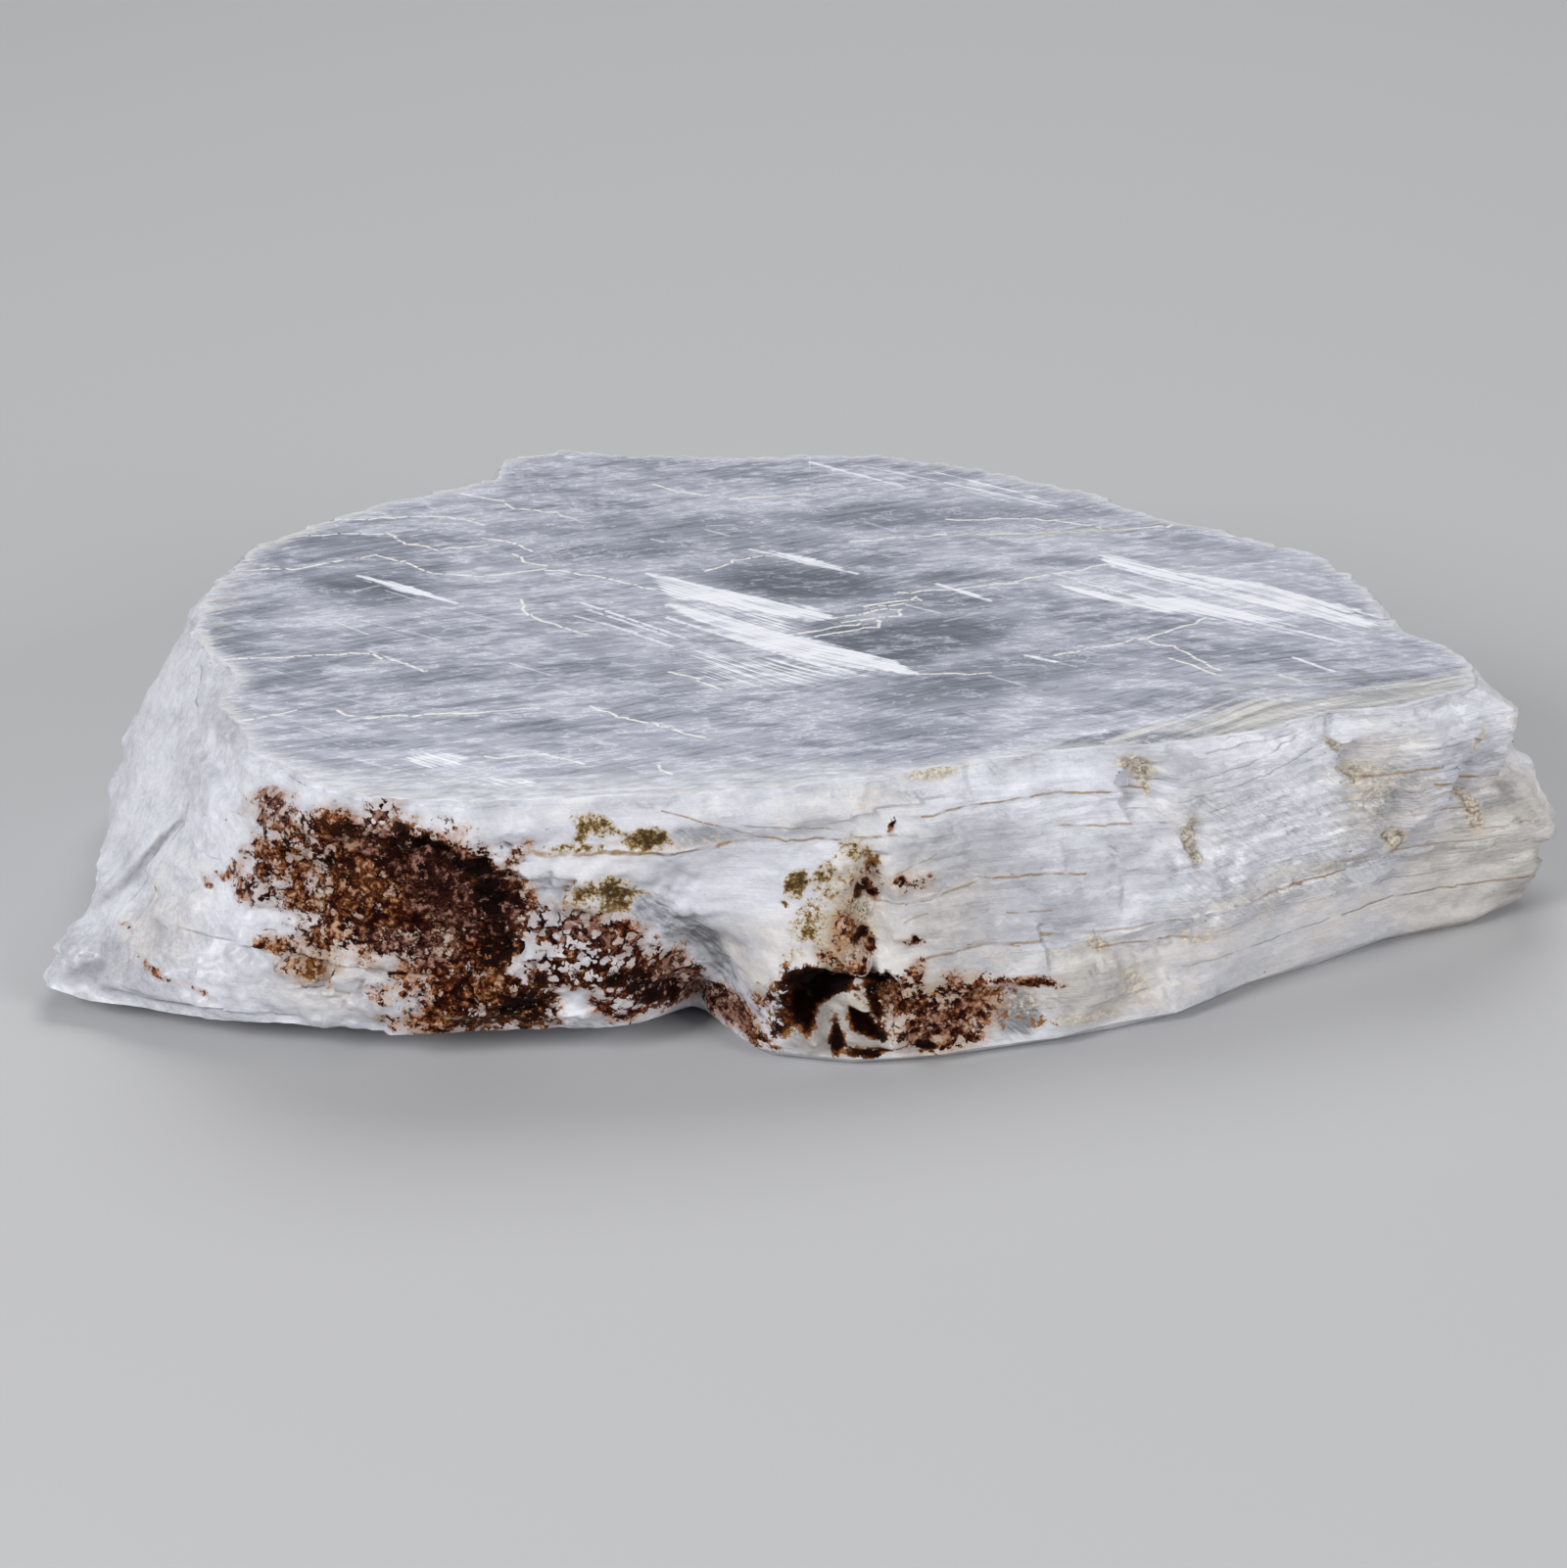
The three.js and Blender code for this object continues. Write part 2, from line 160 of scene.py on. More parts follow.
def meet(outline, angles):
    """Distance and height of an outline at each angle.

    The ray from the axis cuts the straight side between the corners a and b on either side of it:
    distance = (a x b) / (direction x (b - a)), and the height lies at the same share of that side.
    """
    corners = outline[:, :2] - AXIS
    turn = np.arctan2(corners[:, 1], corners[:, 0])
    order = np.argsort(turn)
    corners, heights, turn = corners[order], outline[order, 2], turn[order]
    wrapped = np.arctan2(np.sin(angles), np.cos(angles))
    after = np.searchsorted(turn, wrapped, side="right") % len(turn)
    a, b = corners[after - 1], corners[after]
    ray = np.stack([np.cos(angles), np.sin(angles)], axis=1)
    across = ray[:, 0] * (b - a)[:, 1] - ray[:, 1] * (b - a)[:, 0]
    distance = (a[:, 0] * b[:, 1] - a[:, 1] * b[:, 0]) / across
    share = np.linalg.norm(ray * distance[:, None] - a, axis=1) / np.linalg.norm(b - a, axis=1)
    return distance, heights[after - 1] * (1 - share) + heights[after] * share


def smooth(t):
    """The S-curve 3t^2 - 2t^3 of t held between 0 and 1."""
    t = np.clip(t, 0, 1)
    return t * t * (3 - 2 * t)


def noise(x, y, z):
    """Smooth noise from -1 to 1: each cell's repeatable number, blended along the three axes."""
    x, y, z = np.broadcast_arrays(x, y, z)
    i, j, k = np.floor(x), np.floor(y), np.floor(z)
    u, v, w = smooth(x - i), smooth(y - j), smooth(z - k)

    def cell(di, dj, dk):
        wave = np.sin((i + di) * 127.1 + (j + dj) * 311.7 + (k + dk) * 74.7) * 43758.5453
        return wave - np.floor(wave)

    def edge(dj, dk):
        return cell(0, dj, dk) * (1 - u) + cell(1, dj, dk) * u

    low = edge(0, 0) * (1 - v) + edge(1, 0) * v
    high = edge(0, 1) * (1 - v) + edge(1, 1) * v
    return 2 * (low * (1 - w) + high * w) - 1


def felt(form, x, y, z, ragged=0.22):
    """How much of a form is felt: 1 on its floor, 0 beyond its reach, an S-curve between them. The
    distance from its middle is noised so that its outline is ragged."""
    middle, reach, _, crisp = form
    away = np.sqrt(sum(((v - m) / r) ** 2 for v, m, r in zip((x, y, z), middle, reach)))
    away = away + ragged * (noise(x / 3.1, y / 3.1, z / 2.3) + 0.6 * noise(x / 1.3, y / 1.3, z / 1.1))
    return smooth((1 - away) / (1 - crisp))


def ledges(level):
    """Thin sheets seen edge on, each overhanging the next: a sawtooth of the level, steep side down."""
    return (level - np.floor(level)) - 0.5


def number_of(i, j):
    """A repeatable number from 0 to 1 for each pair of whole numbers."""
    wave = np.sin(i * 12.9898 + j * 78.233) * 43758.5453
    return wave - np.floor(wave)


def blocks(along, level, long):
    """Flat blocks in a bent brick pattern, each standing out by its own number and leaning a little:
    number - 1/2 + (lean - 1/2) x (share of the way along the block - 1/2)."""
    row = np.floor(level)
    place = along / long + 3.7 * number_of(row, row + 1)
    column = np.floor(place)
    return number_of(row, column) - 0.5 + (number_of(column, row + 9) - 0.5) * (place - column - 0.5)


def scales(along, height, long, tall):
    """Overlapping scales: in each cell of a bent brick pattern the surface is a tilted plane,
    (share of the way along the cell) - 1/2, shifted by the cell's own number."""
    row = np.floor(height / tall)
    place = along / long + 0.5 * np.mod(row, 2) + 0.7 * noise(row * 3.1, 0.5, 0.5)
    column = np.floor(place)
    lean = (height / tall - row) - 0.5
    return 0.6 * (0.5 - (place - column)) + 0.7 * lean + 0.8 * (number_of(row, column) - 0.5)


def fractal(x, y, z, octaves=4):
    """Noise from 0 to 1 with finer and finer noise added, each octave half the size, 0.6 as strong."""
    total, strength = np.zeros(np.shape(x)), 1.0
    for octave in range(octaves):
        grow = 2.0 ** octave
        total += strength * noise(x * grow + 17.3 * octave, y * grow, z * grow)
        strength *= 0.6
    return np.clip(0.5 + 0.25 * total, 0, 1)


def between(value, low, high, soft):
    """1 where a value lies between low and high, falling to 0 over a soft margin outside them."""
    return smooth((value - low) / soft + 1) * smooth((high - value) / soft + 1)


# The columns' angles: evenly spaced along the waist, closer at the front, starting at the back.
trial = np.linspace(-1.5 * np.pi, 0.5 * np.pi, 8001)
waist_distance, _ = meet(OUTLINES[2], trial)
waist_line = AXIS + waist_distance[:, None] * np.stack([np.cos(trial), np.sin(trial)], axis=1)
step = np.linalg.norm(np.diff(waist_line, axis=0), axis=1)
reached = np.concatenate([[0], np.cumsum(step)])
density = np.where(waist_line[1:, 1] < FRONT_Y, FRONT_DENSITY, 1.0)
weighed = np.concatenate([[0], np.cumsum(step * density)])
angles = np.interp(np.linspace(0, weighed[-1], COLUMNS, endpoint=False), weighed, trial)
# How far along the waist each column stands, from the left end, where the angle is -180 degrees.
along = np.interp(angles, trial, reached) - np.interp(-np.pi, trial, reached)
girth = reached[-1]

# The plain wall: straight lines down from outline to outline.
levels = [meet(outline, angles) for outline in OUTLINES]
plain, height = [], []
for rows, (far_a, z_a), (far_b, z_b) in zip(ROWS, levels, levels[1:]):
    share = (np.arange(rows) / rows)[:, None]
    plain.append(far_a * (1 - share) + far_b * share)
    height.append(z_a * (1 - share) + z_b * share)
plain = np.concatenate(plain + [levels[-1][0][None]])
height = np.concatenate(height + [levels[-1][1][None]])
ray_x, ray_y = np.cos(angles), np.sin(angles)
wall_x, wall_y = AXIS[0] + plain * ray_x, AXIS[1] + plain * ray_y
unrolled = np.broadcast_to(along, plain.shape)

# Its roughness: bundles of growth sheets that broke off together, lumps, chips, the named forms,
# then thin sheets, scales and grit.
bundle = np.floor(height / 5.2 + 0.6 * noise(wall_x / 40, wall_y / 40, 0))
relief = 1.5 * noise(wall_x / 17, wall_y / 17, 7.3 * bundle)
relief += 1.5 * noise(wall_x / 13, wall_y / 13, height / 9.1)
relief += 0.7 * noise(wall_x / 5, wall_y / 5, height / 3.5)
busy = np.ones(relief.shape)
for place in CALM_PLACES:
    busy *= 1 - place[2] * felt(place, wall_x, wall_y, height)
relief *= busy
bent = height + 0.9 * noise(wall_x / 22, wall_y / 22, 0.5) + 0.35 * noise(wall_x / 6, wall_y / 6, height / 6)
layered = smooth((unrolled - 183) / 12) + 0.25
for stretch, margin, heights, height_margin, hidden in SHEETS_HIDDEN:
    layered *= 1 - hidden * between(unrolled, *stretch, margin) * between(height, *heights, height_margin)
layered = np.clip(layered, 0.02, 1)
fading = smooth(0.5 + 1.2 * noise(wall_x / 9, wall_y / 9, height / 5))
relief += 0.5 * layered * ledges(bent / 4.3) * fading
relief += 0.3 * layered * ledges(bent / 1.5 + 0.5 * noise(wall_x / 15, wall_y / 15, height / 20))
patchy = 0.85 * between(unrolled, *RIGHT_BLOCKS, 6)
patchy = patchy + 0.5 * between(unrolled, 300, 600, 8) + 0.5 * between(unrolled, -300, -20, 8)
relief += 0.9 * patchy * blocks(unrolled + 1.2 * noise(wall_x / 5, wall_y / 5, height / 4), bent / 6.5, 15)
shifted = unrolled + 0.7 * noise(wall_x / 3, wall_y / 3, height / 2)
relief += 0.35 * patchy * blocks(shifted, bent / 2.1 + 9, 6)
relief += 0.25 * between(unrolled, *RIGHT_BLOCKS, 6) * noise(unrolled / 3.2, height / 16, 3.5)
relief += 0.14 * noise(wall_x / 1.7, wall_y / 1.7, height / 1.1)
tilted = height - 0.16 * (unrolled - 240) + 1.2 * noise(wall_x / 9, wall_y / 9, height / 9)
scaly = between(unrolled, 238, 300, 8) * between(height, 17, 50, 2)
relief += 0.34 * scaly * scales(unrolled + 2 * noise(wall_x / 4, wall_y / 4, height / 3), tilted, 5.5, 1.9)
fibres = between(unrolled, -40, 74, 3)
relief += 0.26 * fibres * noise((unrolled + 0.3 * height) / 1.3, height / 14, 0.5)
toe = between(unrolled, 36, 75, 4) * between(height, -1, 14, 4)
relief += 0.3 * toe * noise(wall_x / 1.8, wall_y / 1.8, height / 1.3)
crumbly = between(unrolled, 76, 150, 5) * between(height, 3, 40, 3)
crumbly = np.maximum(crumbly, between(unrolled, 174, 181, 2) * between(height, 16, 33, 3))
relief += 0.55 * crumbly * noise(wall_x / 1.3, wall_y / 1.3, height / 1.3)
relief += 0.5 * crumbly * noise(wall_x / 2.6, wall_y / 2.6, height / 2.2)
for form in FORMS + LUMPS:
    relief -= form[2] * felt(form, wall_x, wall_y, height)
seam_level = 37.5 + 0.5 * noise(wall_x / 12, wall_y / 12, 0.5)
relief -= 0.7 * between(unrolled, 122, 164, 4) * smooth((height - seam_level) / 0.5)
below_rim = smooth((THICKNESS - height) / 6)
above_sole = smooth(height / 6)
scallops = ledges(unrolled / 7.5 + 1.3 * noise(wall_x / 9, wall_y / 9, 0.5))
chips = 0.7 * noise(wall_x / 4, wall_y / 4, 0.5) + 0.45 * noise(wall_x / 1.4, wall_y / 1.4, height / 2)
chips += 1.3 * scallops * smooth((wall_y + 20) / 20)
standing = plain + relief * below_rim * above_sole + chips * (1 - below_rim)

# The rim is worn round: a quarter circle of this radius joins the top plane to the wall.
ROUND_STEPS = 4
worn = 0.5 + 0.9 * between(along, 88, 172, 16)
turn = np.linspace(0, np.pi / 2, ROUND_STEPS, endpoint=False)[:, None]
rim_distance = standing[0] - worn * (1 - np.sin(turn))
rim_height = THICKNESS - worn * (1 - np.cos(turn))
height[0] -= worn
distance = np.concatenate([rim_distance, standing])
height = np.concatenate([rim_height, height])
wall = np.stack([AXIS[0] + distance * ray_x, AXIS[1] + distance * ray_y, height], axis=-1)
wall_rows = len(wall)


def strip(outer, inner):
    """Faces between two rings of points, given by their numbers. Where the inner ring has half as
    many points, three triangles fill each pair of steps; otherwise each step is a square."""
    if len(outer) == len(inner):
        return [np.stack([outer, np.roll(outer, -1), np.roll(inner, -1), inner], axis=1)]
    first, second, third = outer[0::2], outer[1::2], np.roll(outer[0::2], -1)
    following = np.roll(inner, -1)
    return [np.stack(corners, axis=1) for corners in
            ((first, second, inner), (second, following, inner), (second, third, following))]


def inlay(rim, numbers, shares, halvings, first_number):
    """The plane inside a rim: each ring is axis + share x (rim - axis), keeping every second point
    from each of the halvings on, and the last ring closes on one point in the middle."""
    rings, faces, outer, stride = [], [], numbers, 1
    for place, share in enumerate(shares):
        if place in halvings:
            stride *= 2
        ring = rim[::stride].copy()
        ring[:, :2] = AXIS + share * (ring[:, :2] - AXIS)
        inner = first_number + np.arange(len(ring))
        faces += strip(outer, inner)
        rings.append(ring)
        first_number += len(ring)
        outer = inner
    rings.append(np.array([[*AXIS, rim[:, 2].mean()]]))
    faces.append(np.stack([outer, np.roll(outer, -1), np.full(len(outer), first_number)], axis=1))
    return np.concatenate(rings), faces


row, column = np.meshgrid(np.arange(wall_rows - 1), np.arange(COLUMNS), indexing="ij")
following = (column + 1) % COLUMNS
wall_faces = np.stack([
    row * COLUMNS + column, (row + 1) * COLUMNS + column,
    (row + 1) * COLUMNS + following, row * COLUMNS + following,
], axis=-1).reshape(-1, 4)
wall_points = wall.reshape(-1, 3)
top_points, top_faces = inlay(wall[0], np.arange(COLUMNS), TOP_SHARES, TOP_HALVINGS, len(wall_points))
sole_numbers = (wall_rows - 1) * COLUMNS + np.arange(COLUMNS)
first_of_sole = len(wall_points) + len(top_points)
sole_points, sole_faces = inlay(wall[-1], sole_numbers, SOLE_SHARES, SOLE_HALVINGS, first_of_sole)

# The top plane steps down by a few thin sheets towards the right front rim.
top_x, top_y = top_points[:, 0], top_points[:, 1]
before_line = (top_x - 40) * 0.395 - (top_y + 49) * 0.919
beyond = smooth((top_x - 34) / 12) * smooth((118 - top_x) / 12)
steps = np.clip(before_line + 1.5 * noise(top_x / 9, top_y / 9, 0.5), 0, 9)
top_points[:, 2] -= beyond * 0.14 * np.floor(steps / 1.7)
points = np.concatenate([wall_points, top_points, sole_points])

faces = [wall_faces, *top_faces, *(face[:, ::-1] for face in sole_faces)]
finish = np.concatenate([
    np.where(np.repeat(np.arange(wall_rows - 1), COLUMNS) < 1, 0, 1),
    *(np.zeros(len(face), int) for face in top_faces), *(np.full(len(face), 2) for face in sole_faces),
])
mesh = bpy.data.meshes.new("selenite_slab_crystal")
low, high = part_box("selenite_slab")
middle = (points[:, :2].max(axis=0) + points[:, :2].min(axis=0)) / 2
offset = np.array([*(middle - (np.array(low) + np.array(high))[:2] * 500), 0.0])
face_corners = [corners for group in faces for corners in group.tolist()]
mesh.from_pydata(((points - offset) / 1000).tolist(), [], face_corners)
mesh.polygons.foreach_set("material_index", finish.astype(np.int32))
mesh.polygons.foreach_set("use_smooth", np.ones(len(finish), bool))
mesh.set_sharp_from_angle(angle=np.radians(SHARP_ANGLE))

# What the finishes read at each point: its place, how far along the waist it stands, and how far
# inside the rim. The soft noises that are cheaper once a point than once a pixel are kept there too.
slab_height = points[:, 2]
point_angle = np.arctan2(points[:, 1] - AXIS[1], points[:, 0] - AXIS[0])
point_angle = np.where(point_angle > np.pi / 2, point_angle - 2 * np.pi, point_angle)
slab_along = np.interp(point_angle, angles, along)
slab_along[:len(wall_points)] = np.tile(along, wall_rows)
rim_far = np.interp(point_angle, angles, distance[0])
inside_rim = rim_far - np.hypot(points[:, 0] - AXIS[0], points[:, 1] - AXIS[1])


def note(name, values, domain="POINT"):
    """Keeps a number (or three) at every point, or every corner of a face, for a finish to read."""
    values = np.asarray(values, np.float32)
    layer = mesh.attributes.new(name, "FLOAT_VECTOR" if values.ndim == 2 else "FLOAT", domain)
    layer.data.foreach_set("vector" if values.ndim == 2 else "value", values.ravel())


note("plan", points)
x, y, z = points.T
level = np.zeros(len(points))
bow = np.stack([4 * noise(x / 31, y / 31, 3.5), 5 * noise(x / 27, y / 27, 9.5), level], axis=1)
note("flow", points + bow)
note("unrolled", np.stack([slab_along, slab_height, level], axis=1))
note("inside_rim", np.clip(inside_rim, 0, 60))
note("along", slab_along)
drift_x, drift_y = 5 * noise(x / 13, y / 13, 0.5), 4 * noise(x / 11, y / 11, 7.5)
note("cloud", fractal((x - 0.3 * y + drift_x) / 26, (y + 0.3 * x + drift_y) / 11, z / 12, 5))
note("haze", fractal((x + 0.12 * y + drift_x) / 11, (y - 0.12 * x + drift_y) / 3.4, z / 4, 4))
note("mottle", fractal(x / 9, y / 9, z / 5, 5))
note("flake", fractal(x / 3.2, y / 3.2, z / 1.3, 3))
note("clot", fractal(x / 3.0, y / 3.0, z / 2.6, 3))
note("band", fractal(x / 22, y / 22, z / 1.9, 2))

loop_point = np.empty(len(mesh.loops), np.int32)
mesh.loops.foreach_get("vertex_index", loop_point)
loop_count = np.empty(len(mesh.polygons), np.int32)
mesh.polygons.foreach_get("loop_total", loop_count)
first_loop = np.concatenate([[0], np.cumsum(loop_count)[:-1]])
loop_face = np.repeat(np.arange(len(loop_count)), loop_count)


def crooked(corners, pace, sway, seed):
    """A broken line with a new corner every pace, each moved aside by a repeatable number x sway."""
    corners = np.array(corners, float)
    lengths = np.linalg.norm(np.diff(corners, axis=0), axis=1)
    walked = np.concatenate([[0], np.cumsum(lengths)])
    stops = np.unique(np.concatenate([walked, np.arange(0, walked[-1], pace)]))
    line = np.stack([np.interp(stops, walked, corners[:, axis]) for axis in (0, 1)], axis=1)
    shifts = np.random.default_rng(seed).uniform(-sway, sway, line.shape)
    return line + shifts


def nearest_lines(lines, where, used):
    """For each used face the nearest stretch of any line, kept at the face's corners as
    (distance across, distance past the end, both in half thicknesses, and strength).

    A line is (strength, half thickness, corners). With u the stretch's unit direction and r the
    corner's place from its middle: across = u x r, past = |u . r| - half length, taken with the sign
    of the face's own side so that it stays even over the face.
    """
    starts = np.concatenate([line[:-1] for _, _, line in lines])
    ends = np.concatenate([line[1:] for _, _, line in lines])
    strength = np.concatenate([np.full(len(line) - 1, value) for value, _, line in lines])
    thick = np.concatenate([np.full(len(line) - 1, value) for _, value, line in lines])
    middles, runs = (starts + ends) / 2, ends - starts
    half = np.linalg.norm(runs, axis=1) / 2
    runs = runs / (2 * half[:, None])
    chosen = np.nonzero(used)[0]
    centre = np.add.reduceat(where, first_loop, axis=0) / loop_count[:, None]
    best = np.zeros(len(loop_count), int)
    side = np.ones(len(loop_count))
    for block in np.array_split(chosen, 60):
        reach = centre[block][:, None] - middles[None]
        cross = reach[..., 0] * runs[:, 1] - reach[..., 1] * runs[:, 0]
        dot = (reach * runs).sum(axis=2)
        gap = np.hypot(cross, np.maximum(np.abs(dot) - half, 0))
        best[block] = gap.argmin(axis=1)
        side[block] = np.where(dot[np.arange(len(block)), best[block]] < 0, -1, 1)
    pick = best[loop_face]
    reach = where - middles[pick]
    across = (reach[:, 0] * runs[pick, 1] - reach[:, 1] * runs[pick, 0]) / thick[pick]
    past = ((reach * runs[pick]).sum(axis=1) * side[loop_face] - half[pick]) / thick[pick]
    result = np.stack([across, past, strength[pick]], axis=1)
    result[~used[loop_face]] = (9, 9, 0)
    return result


slab = bpy.data.objects.new("selenite_slab_crystal", mesh)
bpy.context.scene.collection.objects.link(slab)
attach(slab, "root")
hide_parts("selenite_slab")


# ------------------------------------------------------------------------------------------------
# The top plane: a mirror-flat cleavage, glassy and blue-grey where one looks into the crystal. Where the
# crystal has parted inside, along two directions that cross, its white is a painted reflection; clear
# zones are painted darker as painted shade, and a painted highlight lines the rim. Thin cream cracks
# wander over it. Places are in millimetres, as the outlines are.

FEATHERS = [  # strength, width of the soft edge, corners anticlockwise
    (1.1, 1.8, [(-24.5, 25), (-20.5, 14), (4.5, 0.8), (8.8, 2.6), (8.6, 4.6)]),
    (1.15, 1.8, [(-20.5, 10.5), (-16, 3), (-6, -9), (6, -18), (22.5, -22.5), (19, -16.5)]),
    (0.62, 8.0, [(-18, -8), (-14, -28), (0, -30), (25, -22), (8, -15)]),
    (0.62, 5.0, [(-22, 16), (-19, 3), (-4, -14), (8, -14), (4, 2)]),
    (1.05, 1.6, [(-5, 37), (3.0, 29.0), (13, 24), (5.2, 32.0)]),
    (1.15, 1.4, [(-76, 24), (-67.4, 15.7), (-57, 10), (-65.6, 18.3)]),
    (1.2, 2.0, [(56, 35), (57.5, 29), (78, 14), (84, 11), (60, 32)]),
    (1.15, 2.0, [(66, 27), (80, 16.5), (98, 5), (101, 6), (84, 19)]),
    (1.1, 1.8, [(47.5, 19.5), (50, 15.5), (67, 4.5), (68, 6.5), (52, 17.5)]),
    (1.2, 2.6, [(60, 14), (64, 8), (80, 1.5), (86, 2), (70, 12)]),
    (1.2, 2.2, [(76, 16), (84, 8), (100, -1.5), (103, 1), (90, 11)]),
    (0.6, 3.0, [(72, 2), (78, -3), (94, -8), (96, -5), (82, 0)]),
    (0.5, 9.0, [(50, 20), (66, 0), (92, -8), (106, -2), (84, 20), (60, 29)]),
    (0.36, 6.0, [(-38, 12), (-34, -4), (-14, -14), (-12, -4), (-20, 10)]),
    (0.45, 6.0, [(-78, 6), (-70, -6), (-58, -10), (-56, -4), (-68, 6)]),
    (0.9, 1.6, [(25, 20), (30.8, 14.1), (38, 9.5), (32.2, 16.0)]),
    (1.1, 3.0, [(-61, -56.5), (-58, -61), (-52, -60.5), (-50, -57), (-55, -54.5)]),
    (0.85, 3.0, [(-49, -63.5), (-46, -68), (-39, -68.5), (-38, -65.5)]),
    (0.7, 2.5, [(78, 44), (80, 37), (83, 36.5), (82, 43)]),
    (0.7, 2.5, [(-45, 87), (-43, 83), (-38, 82), (-39, 86)]),
    (0.85, 1.6, [(3, 84.5), (10, 77), (23, 68), (22, 70.5)]),
    (0.85, 1.8, [(24, 80), (36, 69), (51, 58.5), (50, 61.5), (38, 71)]),
    (0.4, 5.0, [(2, 84), (22, 66), (52, 56), (50, 62), (20, 84)]),
    (0.32, 6.0, [(36, -2), (44, -18), (70, -8), (74, 0)]),
    (0.3, 8.0, [(-95, -6), (-90, -30), (-66, -26), (-70, -2)]),
]
CLEAR_ZONES_PAINTED_DARK = [  # where it is clear, painted darker as painted shade: (x, y, degrees, half length, half width, strength)
    (2, 20, -15, 17, 8, 1.0), (15, -9, -45, 13, 7, 1.2), (24, -6, 25, 18, 9, 1.0), (26, 10, 10, 14, 6, 0.6),
    (-73, 15, -20, 14, 8, 0.7), (25, 53, 5, 34, 7, 0.6), (-25, 45, -5, 30, 9, 0.35),
    (22, -46, -10, 14, 5, 0.6), (34, -24, 26, 24, 9, 0.75), (-32, 34, 10, 18, 6, 0.5),
    (-8, 48, 8, 24, 6, 0.45), (50, 30, 0, 10, 3, 0.7), (-58, -24, 8, 12, 3.5, 0.45),
    (-18, -16, -30, 7, 4, 0.4), (48.5, -50.3, 32, 8, 1.6, 1.5), (62, -48, 15, 9, 2.2, 0.9),
    (14, -63, 25, 4, 1.6, 0.6), (-68, -52, 4, 9, 2.4, 0.7), (-12, -52, 6, 17, 3, 0.45),
    (98, -28, 25, 14, 4, 0.6), (-25, 84, 0, 12, 4, 0.5),
]
BEIGE_BAND = [  # where beige layers crop out, in the same way
    (46, 44.5, 5, 26, 1.8, 0.62), (54, 30, 20, 8, 2.2, 0.45), (-42, 6, -40, 7, 5, 0.36),
    (88, -38, 24, 46, 8, 1.0), (55, -50, 14, 16, 4, 0.9), (84, -28, 24, 30, 6, 0.45),
    (-97, 12, -86, 20, 3.6, 0.5), (-92, 40, 35, 12, 2.6, 0.6),
]
CRACKS = [  # thin cream cracks, as the corners of their lines
    [(-96, 26), (-88, 26), (-80, 30), (-73, 33), (-68, 30), (-62, 24), (-53, 23), (-42, 26), (-32, 22),
     (-23, 16)],
    [(-92, 42), (-80, 44), (-72, 44), (-68, 39), (-62, 36), (-53, 38)], [(-54, 42), (-48, 39), (-45, 35)],
    [(-48, 34), (-46, 30), (-42, 28)], [(-60, 65), (-52, 61), (-50, 57), (-42, 55), (-39, 52)],
    [(-82, 51), (-62, 53), (-55, 49)], [(14, 8.5), (23.5, 12.5), (23.6, 10.8), (17, 8.6)],
    [(20, 14.5), (30, 16.5), (41, 20), (47, 24), (57, 28)],
    [(9, 2.5), (18, 7.5), (20, 6.8), (20.2, 4.5), (10, 1)], [(13, 2), (15.5, 2.5), (16.8, -0.8), (5, -6)],
    [(2, -4), (13, 0)], [(24, 43), (45, 44), (60, 46), (71, 48)], [(30, 51), (45, 52), (60, 46)],
    [(-46, 11), (-44, 4), (-38, -1), (-34, -5)], [(-95, -16), (-70, -13), (-60, -21)],
    [(-14, 25), (-9, 30), (-2, 33)], [(12, 40), (22, 42)], [(22, -22), (35, -22)],
    [(-73, -38), (-69, -41), (-40, -37)], [(62, -8), (66, -10), (73, -21)], [(46, -14), (62, -6), (73, 3)],
    [(-32, -36), (-26, -41), (-20, -44), (-13, -49)], [(-19, -21), (-14, -25), (-10, -29)],
    [(-10, 62), (5, 65)], [(-24, 70), (-20, 66), (-14, 64)], [(-90, -43), (-80, -38)],
    [(65, -15), (72, -22)], [(-20, -60), (-18, -64)], [(-48, -57), (-38, -56), (-32, -59)],
]
GLINTS = [  # straight bright partings: strength, half width, ends
    (1.0, 0.6, (-75, 23), (-57, 10)), (0.9, 0.45, (-35, 10), (-17, -6)), (0.8, 0.4, (-34, 7), (-20, -5)),
    (0.8, 0.4, (-30, 0), (-19, -10)), (0.7, 0.35, (-36, 4), (-25, -4)), (0.9, 0.6, (-24, 24), (8, 4)),
    (1.0, 0.7, (-20, 9), (22, -22)), (0.9, 0.5, (-20, 3), (9, -21)), (0.7, 0.5, (-14, -2), (12, -22)),
    (0.9, 0.5, (27, 19), (36, 11)), (1.0, 0.6, (41, -14), (46, -17)), (1.0, 0.45, (86, -15), (92, -21)),
    (0.9, 0.45, (83, -23), (86, -25)), (0.9, 0.5, (5, 82), (22, 69)), (0.8, 0.5, (30, 71), (50, 58)),
    (0.6, 0.4, (15, 80), (30, 71)), (0.8, 0.5, (-6, 36), (13, 24)), (0.9, 0.6, (58, 28), (82, 10)),
    (0.8, 0.5, (52, 20), (80, 0)), (0.9, 0.5, (70, 24), (100, 2)), (0.8, 0.5, (74, 6), (95, -8)),
    (0.7, 0.4, (60, 20), (88, -1)), (0.8, 0.4, (82, 20), (103, 3)), (0.6, 0.4, (48, 24), (60, 16)),
    (0.6, 0.4, (-70, -12), (-60, -21)), (0.6, 0.4, (57, 31), (60, 26)), (0.5, 0.4, (-14, 46), (-10, 43)),
]
LINE_PACE = 2.2  # cracks and seams turn this often
CRACK_HALF, CRACK_SWAY = 0.34, 0.5  # half thickness, and how far each turn is moved aside
SEAM_SHARE, SEAM_SWAY = 0.62, 0.16  # the share of a seam's listed half thickness that shows
